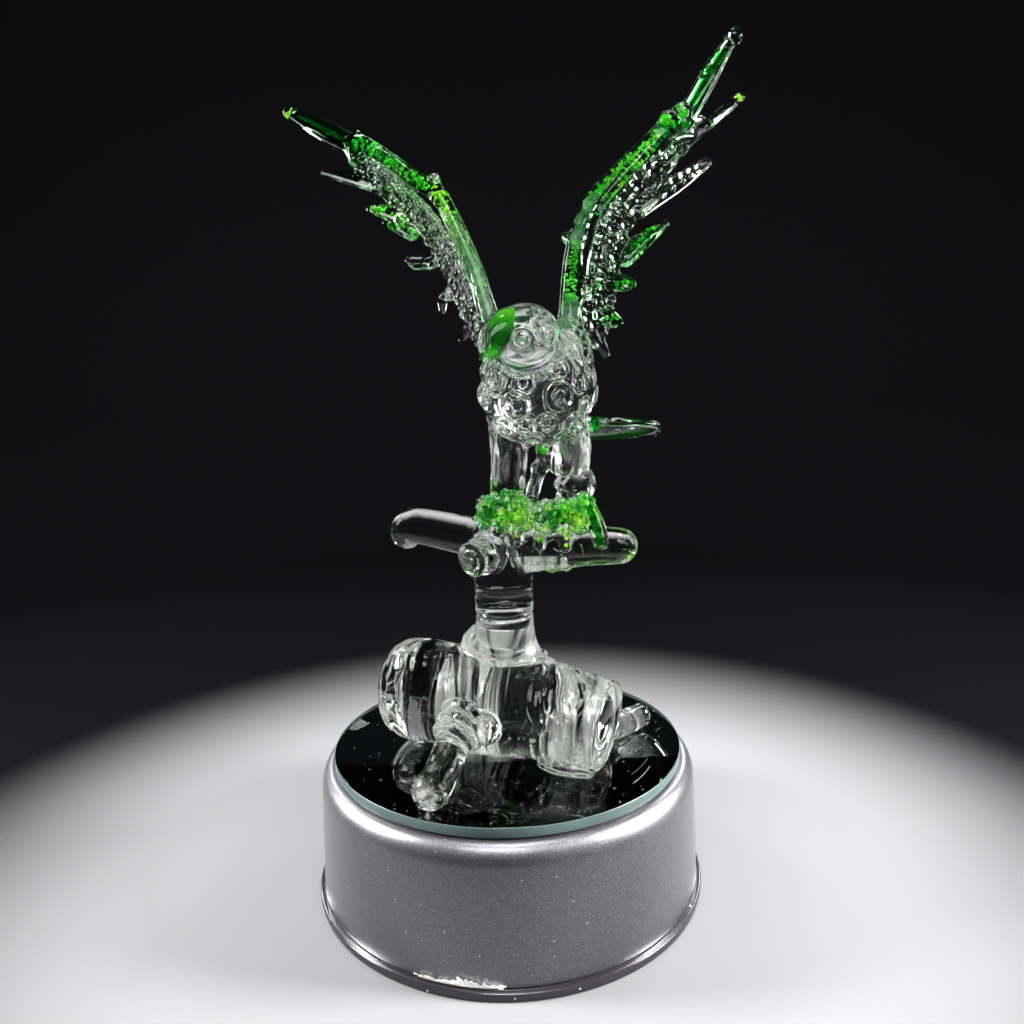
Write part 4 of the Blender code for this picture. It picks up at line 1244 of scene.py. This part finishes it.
for centre, axes, glass in GATHERS:
    stains.append((centre, max(axes) * 1.05, GREENS[glass], 0.55))
for rows, glass in TOES:
    stain(rows, glass, 0.5, 1.2)
stain(LEAF_TOE, "lime", 0.5, 1.1)
stains.append(((11.7, -8.6, BODY.z - 19.7), 3.0, GREENS["leaf"], 0.9))
stain(TAIL[1:], "emerald", 0.38, 0.9)
stains.append(((*(TAIL_ROOT + TAIL_RUN),), 3.4, GREENS["lime"], 0.8))
for rows, glass, strength, reach in (
    (RIGHT_LEAD[1:4], "leaf", 0.34, 1.6), (RIGHT_LEAD[2:4], "emerald", 0.66, 0.9),
    (RIGHT_LEAD[3:6], "emerald", 0.55, 1.6), (RIGHT_LEAD[5:9], "leaf", 0.74, 1.6),
    (LEFT_LEAD[1:5], "leaf", 0.24, 1.6), (LEFT_LEAD[4:6], "leaf", 0.50, 1.6),
    (LEFT_LEAD[5:8], "lime", 0.66, 1.6), (LEFT_LEAD[7:11], "leaf", 0.62, 1.6),
    ([row[:4] for row in LEFT_BAND[3:]], "emerald", 0.30, 0.9),
    ([row[:4] for row in RIGHT_BAND[4:]], "leaf", 0.22, 0.9), (WELD_RING, "leaf", 0.9, 1.6),
):
    stain(rows, glass, strength, reach)
for feather in RIGHT_FEATHERS + LEFT_FEATHERS:
    if feather[5] != "clear":
        stain(feather_rows(feather), feather[5], 0.80, 1.3)
for *spot, radius, glass in WING_LUMPS:
    if glass != "clear":
        stains.append((spot, radius * 1.2, GREENS[glass], 0.9))
places = (read_spots(glass_mesh) - np.array(STAND)) @ np.array(TURN) / PART
places[:, 1] *= -1
tint = np.ones((len(places), 4))
tint[:, :3] = CLEAR
strongest = np.zeros(len(places))
for centre, reach, color, strength in stains:
    away = np.linalg.norm(places - np.array(centre), axis=1)
    share = strength * np.clip(1.5 - away / reach, 0.0, 1.0)
    better = share > strongest
    strongest[better] = share[better]
    tint[better, :3] = np.array(CLEAR) * (1 - share[better, None]) + np.array(color) * share[better, None]
stained = glass_mesh.attributes.new("stain", "FLOAT_COLOR", "POINT")
stained.data.foreach_set("color", tint.astype(np.float32).ravel())


# Where a cold tool held the glass its skin stayed a little rough, and it looks milky there: middle, half sizes
# and strength of each such place
FROSTED = [
    (((SLEEVE[0] + SLEEVE[1]) / 2, 0.0, AXIS_UP), (9.2, 22.0, 22.0), 0.30),
    ((26.5, 6.0, AXIS_UP - 2.0), (10.5, 14.0, 15.0), 0.30),
    ((-1.6, -0.8, FOOT_UP + 2.6), (15.5, 9.4, 4.6), 0.34),
    ((13.0, 1.5, PERCH_UP - 7.0), (12.0, 6.0, 2.6), 0.30),
    ((-2.0, 15.0, PERCH_UP - 2.0), (6.5, 6.0, 6.5), 0.16),
    ((LEG_LEFT, 0.0, BODY.z - 22.0), (7.5, 8.0, 12.0), 0.26),
    ((LEG_RIGHT, 0.0, BODY.z - 22.0), (7.5, 8.0, 12.0), 0.32),
    (tuple(HEAD), (12.0, 12.5, 11.0), 0.10), (tuple(BODY), (18.5, 24.5, 18.5), 0.14),
    ((-6.0, 43.0, 6.4), (6.5, 7.0, 6.5), 0.20), ((-5.0, 20.0, 16.0), (9.0, 8.0, 9.0), 0.12),
    ((34.0, -26.0, 5.0), (7.0, 16.0, 7.0), 0.26),
]
frost = np.zeros(len(places))
for centre, sizes, strength in FROSTED:
    away = np.linalg.norm((places - np.array(centre)) / np.array(sizes), axis=1)
    frost = np.maximum(frost, strength * np.clip((1.12 - away) / 0.24, 0.0, 1.0))
chilled = glass_mesh.attributes.new("frost", "FLOAT", "POINT")
chilled.data.foreach_set("value", frost.astype(np.float32))


def worked_glass():
    glass = Finish("worked_glass", (1.0, 1.0, 1.0), 0.0, {"Transmission Weight": 1.0, "IOR": 1.5})
    # The green was rolled on as crushed glass, so it is darker and lighter from grain to grain
    tint = node(glass.tree, "ShaderNodeAttribute", attribute_name="stain").outputs["Color"]
    depth = glass.ranged(glass.chance(glass.cells(850.0)["Color"]), 0.35, 1.9)
    varied = node(glass.tree, "ShaderNodeGamma", {0: tint, 1: depth}).outputs[0]
    specks, smears = glass.handled(700.0, 0.01, 40.0)
    frost = node(glass.tree, "ShaderNodeAttribute", attribute_name="frost").outputs["Fac"]
    streaks = glass.cloud(1.0, 4.0, where=glass.stretched((260.0, 60.0, 60.0), -PERCH_TURN))
    patchy = glass.ranged(streaks, 0.15, 1.0, 0.38, 0.60)
    film = glass.ranged(smears, 0.0, 0.02)
    return glass.fed({"Base Color": varied, "Roughness": glass.calc("MULTIPLY_ADD", frost, patchy, film)})


eagle = linked("eagle_glass", glass_mesh, worked_glass())
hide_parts("glass_eagle")
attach(eagle, "turntable")

# The green inside: crushed green glass that was rolled up in the feet, the toes and the wings' leading rods,
# and cased over with clear. It glows where light reaches it, because each grain scatters some.


def green_glass(name, dark, light, transmission, ior):
    """Streaky coloured glass that is sealed in clear glass."""
    glass = Finish(name, light, 0.06, {"Transmission Weight": transmission, "IOR": ior})
    streaks = glass.ranged(glass.cloud(330.0, 3.0, 1.2), 0.0, 1.0, 0.38, 0.62)
    return glass.fed({"Base Color": glass.blend(streaks, dark, light)})


def sealed(name, mesh, *finishes):
    """A smooth piece that is shut in inside the figure."""
    mesh.name = name
    mesh.shade_smooth()
    return linked(name, mesh, *finishes)


crushed = {"emerald": ([], []), "leaf": ([], []), "lime": ([], [])}


def crush(glass, centre, axes, count, size):
    """Grains of green glass inside an ellipsoid of the figure."""
    spots, radii = crushed[glass]
    for number in range(count):
        spot = Vector((dice.gauss(0, 1), dice.gauss(0, 1), dice.gauss(0, 1))).normalized()
        spot *= dice.random() ** 0.5
        spots.append(place(*(centre[axis] + spot[axis] * axes[axis] for axis in range(3))))
        radii.append(dice.uniform(0.6, 1.2) * size * PART)


def crush_along(glass, rows, start, stop, count, size):
    """Grains of green glass inside a rod, between two shares of its length."""
    read = smooth_rows(rows, 10)
    for number in range(count):
        row = read[round((start + (stop - start) * dice.random()) * (len(read) - 1))]
        inner = row[3] * 0.55
        crush(glass, row[:3], (inner, inner, inner), 1, size)


for centre, axes, glass in GATHERS:
    for kind, count in ((glass, 30), ("leaf", 14), ("lime", 12)):
        crush(kind, centre, [axis * 0.74 for axis in axes], count, 0.70)
for rows, glass in TOES:
    crush_along(glass, rows, 0.0, 0.8, 7, 0.7)
for glass, start, stop, count, size in (
    ("leaf", 0.20, 0.45, 110, 0.50), ("emerald", 0.50, 0.68, 100, 0.55), ("leaf", 0.64, 0.86, 150, 0.5),
    ("lime", 0.70, 0.92, 90, 0.42), ("emerald", 0.88, 1.0, 40, 0.65),
):
    crush_along(glass, RIGHT_LEAD, start, stop, count, size)
for glass, start, stop, count, size in (
    ("leaf", 0.30, 0.52, 60, 0.50), ("lime", 0.46, 0.62, 80, 0.45), ("leaf", 0.66, 0.88, 100, 0.48),
    ("emerald", 0.80, 0.98, 50, 0.60),
):
    crush_along(glass, LEFT_LEAD, start, stop, count, size)
for *spot, radius, glass in WING_LUMPS:
    if glass != "clear":
        inner = radius * 0.45
        crush(glass, spot, (inner, inner, inner), 6, radius * 0.3)
crush("leaf", (11.7, -8.6, BODY.z - 19.7), (1.0, 1.0, 1.0), 6, 0.9)
for feather in RIGHT_FEATHERS[4:7] + LEFT_FEATHERS[2:4]:
    crush_along("leaf", [(*row[:3], min(row[3:])) for row in feather_rows(feather)], 0.1, 0.8, 12, 0.7)
GREEN_FINISHES = {
    "emerald": green_glass("emerald_glass", (0.004, 0.16, 0.02), (0.02, 0.50, 0.06), 0.55, 1.25),
    "leaf": green_glass("leaf_glass", (0.008, 0.22, 0.012), (0.14, 0.76, 0.06), 0.5, 1.25),
    "lime": green_glass("lime_glass", (0.10, 0.44, 0.015), (0.62, 0.96, 0.12), 0.5, 1.25),
}
for number, (glass, (spots_of, radii_of)) in enumerate(crushed.items()):
    mesh = drops(spots_of, radii_of, spread=0.2, flattening=0.7, roundness=2, seed=31 + number,
                 finish=GREEN_FINISHES[glass])
    grains_of = sealed(glass + "_grains", mesh)
    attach(grains_of, "turntable")

# The long green cores: single threads of colour in the beak, the long toe, the tail and the first feathers,
# drawn out with the clear glass round them.
threads = SoftGlass()


def core(glass, rows, share, start=0.08, stop=0.92, wide=None):
    """A sealed thread inside a limb: the limb's own line between two shares of it, thinner."""
    read = smooth_rows(rows, 6)
    inner = []
    for row in read[round(start * (len(read) - 1)):round(stop * (len(read) - 1)) + 1]:
        narrow = share * (0.85 + 0.15 * math.sin(len(inner) * 1.7))
        inner.append((*row[:3], row[3] * narrow, row[-1] * narrow))
    limb(glass, inner, wide=wide, steps=1)


core(threads, LEAF_TOE, 0.42, 0.1, 0.95, wide=heading(1.0, 0.2, 0.25))
core(threads, TAIL, 0.36, 0.2, 0.85, wide=heading(*TAIL_ACROSS))
core(threads, feather_rows(RIGHT_FEATHERS[0]), 0.42, 0.0, 0.72, wide=heading(-0.35, -0.5, 0.8))
core(threads, feather_rows(RIGHT_FEATHERS[4]), 0.45, 0.1, 0.85, wide=heading(-0.35, -0.5, 0.8))
core(threads, feather_rows(LEFT_FEATHERS[0]), 0.22, 0.0, 0.8, wide=heading(0.35, -0.5, 0.8))
green_threads = sealed("green_threads", threads.mesh(),
                       green_glass("thread_glass", (0.005, 0.13, 0.015), (0.02, 0.38, 0.05), 0.9, 1.08))
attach(green_threads, "turntable")
pale = SoftGlass()
for lead, share, start, stop in ((RIGHT_LEAD, 0.60, 0.10, 0.23), (RIGHT_LEAD, 0.60, 0.43, 0.64),
                                 (LEFT_LEAD, 0.58, 0.10, 0.50)):
    core(pale, [(*row, row[3]) for row in lead], share, start, stop)
pale_threads = sealed("pale_threads", pale.mesh(),
                      green_glass("pale_glass", (0.12, 0.40, 0.16), (0.74, 0.84, 0.75), 0.84, 1.16))
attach(pale_threads, "turntable")


def beak_finish():
    """The beak's drop: yellow-green on top, dark through its middle and vivid green below."""
    glass = Finish("beak_green", (0.05, 0.5, 0.04), 0.05, {"Transmission Weight": 0.6, "IOR": 1.15})
    shifted = glass.calc("MULTIPLY_ADD", glass.cloud(300.0, 3.0), 0.006, glass.axes()[2])
    bottom, top = (place(0, 0, up).z + 0.003 for up in (133, 149))
    ramp = node(glass.tree, "ShaderNodeValToRGB", {0: glass.ranged(shifted, 0.0, 1.0, bottom, top)})
    stops = ((0.0, (0.05, 0.52, 0.02)), (0.15, (0.02, 0.32, 0.01)), (0.30, (0.002, 0.05, 0.003)),
             (0.50, (0.002, 0.05, 0.003)), (0.70, (0.02, 0.26, 0.01)), (0.95, (0.14, 0.55, 0.03)))
    while len(ramp.color_ramp.elements) < len(stops):
        ramp.color_ramp.elements.new(0.5)
    for element, (position, color) in zip(ramp.color_ramp.elements, stops):
        element.position = position
        element.color = (*color, 1.0)
    return glass.fed({"Base Color": ramp.outputs[0]})


beak_glass = SoftGlass()
rod(beak_glass, [(15.9, 24.6, 145.8, 1.6), (14.9, 27.6, 142.8, 2.6), (14.0, 29.0, 139.4, 2.9),
                 (12.9, 30.2, 135.8, 2.0)])
beak_drop = sealed("beak_drop", beak_glass.mesh(), beak_finish())
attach(beak_drop, "turntable")

# Films of air that were shut in under the sleeve, in the knot and under the trunk's foot. Each is a thin
# closed sheath inside the glass. It gives back the light in streaks, which makes these places silvery.
FILM = 0.12


def sheath(glass, rows, wide):
    """A thin closed sheath round a limb's line, open at both its ends."""
    rings = ring_axes(rows, wide)
    turns = circle(sides_of(max(max(row[3:]) for row in rows)) // 2)
    loops = [[centre + a * c + b * s for c, s in turns] for centre, tangent, a, b in rings]
    for centre, tangent, a, b in reversed(rings):
        inner_a = a - a.normalized() * FILM * PART
        inner_b = b - b.normalized() * FILM * PART
        loops.append([centre + inner_a * c + inner_b * s for c, s in turns])
    sides = len(turns)
    faces = []
    for row in range(len(loops)):
        low = row * sides
        high = (row + 1) % len(loops) * sides
        for step in range(sides):
            after = (step + 1) % sides
            faces.append((low + step, low + after, high + after, high + step))
    glass.add([spot for loop in loops for spot in loop], faces)


def air_film():
    film = Finish("air_film", (0.95, 0.96, 0.94), 0.24, {"Metallic": 0.9})
    streaks = film.cloud(1.0, 5.0, 0.6, film.stretched((420.0, 38.0, 38.0), -PERCH_TURN))
    return film.fed({
        "Alpha": film.ranged(streaks, 0.0, 0.8, 0.44, 0.66),
        "Normal": film.bumped(streaks, 0.6, 0.0006),
    })


air = SoftGlass()
sheath(air, [(SLEEVE[0] + 1.0, 0.4, AXIS_UP, LOG_RADIUS - 1.6, LOG_RADIUS - 1.6),
             (SLEEVE[0] + 8.0, 0.5, AXIS_UP, LOG_RADIUS - 1.2, LOG_RADIUS - 1.2),
             (SLEEVE[1] - 0.8, 0.4, AXIS_UP, LOG_RADIUS - 1.5, LOG_RADIUS - 1.5)], heading(0, 0, 1))
sheath(air, [(18.6, 0, AXIS_UP - 1.2, LOG_RADIUS - 3.4, LOG_RADIUS - 3.4),
             (26, 0, KNOT_RADIUS + 0.6, KNOT_RADIUS - 1.2, KNOT_RADIUS - 1.2),
             (LOG_RIGHT - 3.2, 0, KNOT_RADIUS, KNOT_RADIUS - 1.8, KNOT_RADIUS - 1.8)], heading(0, 0, 1))
sheath(air, [(-1.5, -0.6, FOOT_UP + 0.4, 13.8, 7.0), (-1.0, -0.5, FOOT_UP + 3.0, 12.0, 7.6),
             (-0.4, -0.2, FOOT_UP + 5.6, 10.0, 8.0)], heading(1, 0, 0))
limb(air, [(4.0, 3.2, PERCH_UP - 5.6, 2.6, 0.7), (12.0, 3.6, PERCH_UP - 5.0, 3.2, 0.8),
           (24.0, 3.2, PERCH_UP - 3.6, 2.2, 0.6)], wide=heading(0, 0.6, 0.8))
air_films = sealed("air_films", air.mesh(), air_film())
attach(air_films, "turntable")

# The seeds: tiny bubbles of air that were caught in the log, the trunk and the body. Their walls throw the
# light back, so they show as fine bright points.
SEED_ZONES = [
    ((-38, 30), (-11, 12), (8, 28), 26), ((-12, 14), (4, 13), (16, 30), 10), ((-6, 6), (-6, 6), (40, 66), 8),
    ((4, 22), (-12, 10), (116, 132), 8),
]
seeds = []
seed_radii = []
for alongs, forwards, ups, count in SEED_ZONES:
    for number in range(count):
        seeds.append(place(dice.uniform(*alongs), dice.uniform(*forwards), dice.uniform(*ups)))
        seed_radii.append(dice.uniform(0.08, 0.18) * MM)


def bubble_wall():
    wall = Finish("bubble_wall", (0.95, 0.97, 0.96), 0.05, {"Metallic": 1.0})
    return wall.fed({"Base Color": wall.blend(wall.cloud(3000.0), (0.80, 0.84, 0.82), (1.0, 1.0, 1.0))})


BUBBLE_WALL = bubble_wall()
seed_mesh = drops(seeds, seed_radii, spread=0.3, roundness=2, seed=9, finish=BUBBLE_WALL)
bubbles = sealed("seed_bubbles", seed_mesh)
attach(bubbles, "turntable")

# The rims: each large drop was pressed on over a thread of air, which stayed shut in as a fine ring round it.
RIMS = ((0.88, 0.25), (0.44, 0.17))
RIM_DEPTH = 1.1
rims = SoftGlass()
rimmed = []
for normal, radius in pressed_drops[:len(BREAST_DROPS)]:
    outward = Vector(normal[axis] / BODY_SIZE[axis] for axis in range(3)).normalized()
    rimmed.append((Vector(on_body(normal, RIM_DEPTH)), outward, radius))
for centre, outward, radius in HEAD_DROPS:
    outward = Vector(outward).normalized()
    rimmed.append((Vector(centre) - outward * RIM_DEPTH, outward, radius))
for middle, outward, radius in rimmed:
    first = outward.cross(Vector((0, 0, 1))).normalized() * radius
    second = outward.cross(first)
    for reach, thickness in RIMS:
        ring = []
        for step in range(RING_STEPS + 1):
            turn = math.tau * step / RING_STEPS
            ring.append((*(middle + (first * math.cos(turn) + second * math.sin(turn)) * reach), thickness))
        rod(rims, ring, steps=3)
drop_rims = sealed("drop_rims", rims.mesh(), BUBBLE_WALL)
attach(drop_rims, "turntable")


# The stage: a floor painted pale round the figure and darkening outward to near black, a painted pool of light,
# which rises into a dark grey wall all round. A soft light stands at each side, a narrow one behind each
# shoulder, a small one and a wide weak one in front, and a small one overhead.
STAGE_RADIUS = 0.68
STAGE_BEND = 0.14
STAGE_TOP = 1.3
PAINTED_POOL_START = 0.11
PAINTED_POOL_STOP = 0.26


def stage_finish():
    paper = Finish("stage_paper_painted_pool", (0.1, 0.1, 0.1), 0.9, {"Specular IOR Level": 0.0})
    out = paper.vector("LENGTH", paper.vector("MULTIPLY", paper.where, (1.0, 1.0, 0.0)))
    # The floor's colour goes from pale in the middle to near black further out: a painted pool of light
    painted_pool = paper.ranged(out, 0.0, 1.0, PAINTED_POOL_START, PAINTED_POOL_STOP, interpolation_type="SMOOTHSTEP")
    return paper.fed({"Base Color": paper.blend(painted_pool, (0.099, 0.099, 0.101), (0.0014, 0.0014, 0.0016))})


stage_profile = [
    (0.0, 0.0),
    (0.30, 0.0),
    *arc((STAGE_RADIUS - STAGE_BEND, STAGE_BEND), STAGE_BEND, -90, 0, 16),
    (STAGE_RADIUS, STAGE_TOP),
]
turned("stage_floor", stage_profile, stage_finish())

AIM = Vector((0.0, 0.0, 0.14))


def soft_light(name, azimuth, height, distance, size, power):
    """A rectangular soft light that looks at the object. Azimuth 0 is the camera's side, and 90 the right."""
    lamp = bpy.data.lights.new(name, "AREA")
    lamp.shape = "RECTANGLE"
    lamp.size, lamp.size_y = size
    lamp.energy = power
    made = bpy.data.objects.new(name, lamp)
    turn = math.radians(azimuth)
    made.location = Vector((distance * math.sin(turn), -distance * math.cos(turn), height))
    made.rotation_euler = (made.location - AIM).to_track_quat("Z", "Y").to_euler()
    made.visible_camera = False
    bpy.context.scene.collection.objects.link(made)


soft_light("left_side_light", -90, 0.33, 0.50, (0.13, 0.20), 20.0)
soft_light("right_side_light", 80, 0.29, 0.50, (0.14, 0.22), 28.0)
soft_light("front_light", -8, 0.62, 0.44, (0.20, 0.10), 3.6)
soft_light("front_fill", 6, 0.52, 0.52, (0.50, 0.26), 1.6)
soft_light("left_rim_light", -138, 0.34, 0.56, (0.07, 0.14), 2.3)
soft_light("right_rim_light", 142, 0.34, 0.56, (0.07, 0.14), 2.3)
soft_light("top_light", 10, 0.90, 0.06, (0.20, 0.20), 6.0)
sky = bpy.data.worlds.new("sky")
sky.use_nodes = True
sky.node_tree.nodes["Background"].inputs[0].default_value = (0.004, 0.004, 0.0045, 1.0)
bpy.context.scene.world = sky

# The camera, at the height, distance and tilt that the base's ellipses give. Light is followed through many
# walls of glass, and its brightest sparks are held back.
CAMERA_BACK = 0.28057
CAMERA_HEIGHT = 0.18113
CAMERA_PITCH = 0.169545
CAMERA_YAW = 0.013557
CAMERA_ROLL = -0.0260009
CAMERA_LENS = 28.86
look = Vector((math.sin(CAMERA_YAW) * math.cos(CAMERA_PITCH), math.cos(CAMERA_YAW) * math.cos(CAMERA_PITCH),
               -math.sin(CAMERA_PITCH)))
level = Vector((math.cos(CAMERA_YAW), -math.sin(CAMERA_YAW), 0.0))
upright = level.cross(look)
side = math.cos(CAMERA_ROLL) * level + math.sin(CAMERA_ROLL) * upright
top = math.cos(CAMERA_ROLL) * upright - math.sin(CAMERA_ROLL) * level
lens = bpy.data.cameras.new("camera")
lens.sensor_width = 36.0
lens.lens = CAMERA_LENS
lens.clip_start = 0.01
camera = bpy.data.objects.new("camera", lens)
camera.matrix_world = Matrix((
    (side.x, top.x, -look.x, 0.0),
    (side.y, top.y, -look.y, -CAMERA_BACK),
    (side.z, top.z, -look.z, CAMERA_HEIGHT),
    (0.0, 0.0, 0.0, 1.0),
))
bpy.context.scene.collection.objects.link(camera)
bpy.context.scene.camera = camera
cycles = bpy.context.scene.cycles
cycles.max_bounces = 18
cycles.transmission_bounces = 15
cycles.glossy_bounces = 10
cycles.sample_clamp_direct = 5.0
cycles.sample_clamp_indirect = 6.0
bpy.context.scene.view_settings.view_transform = "Standard"
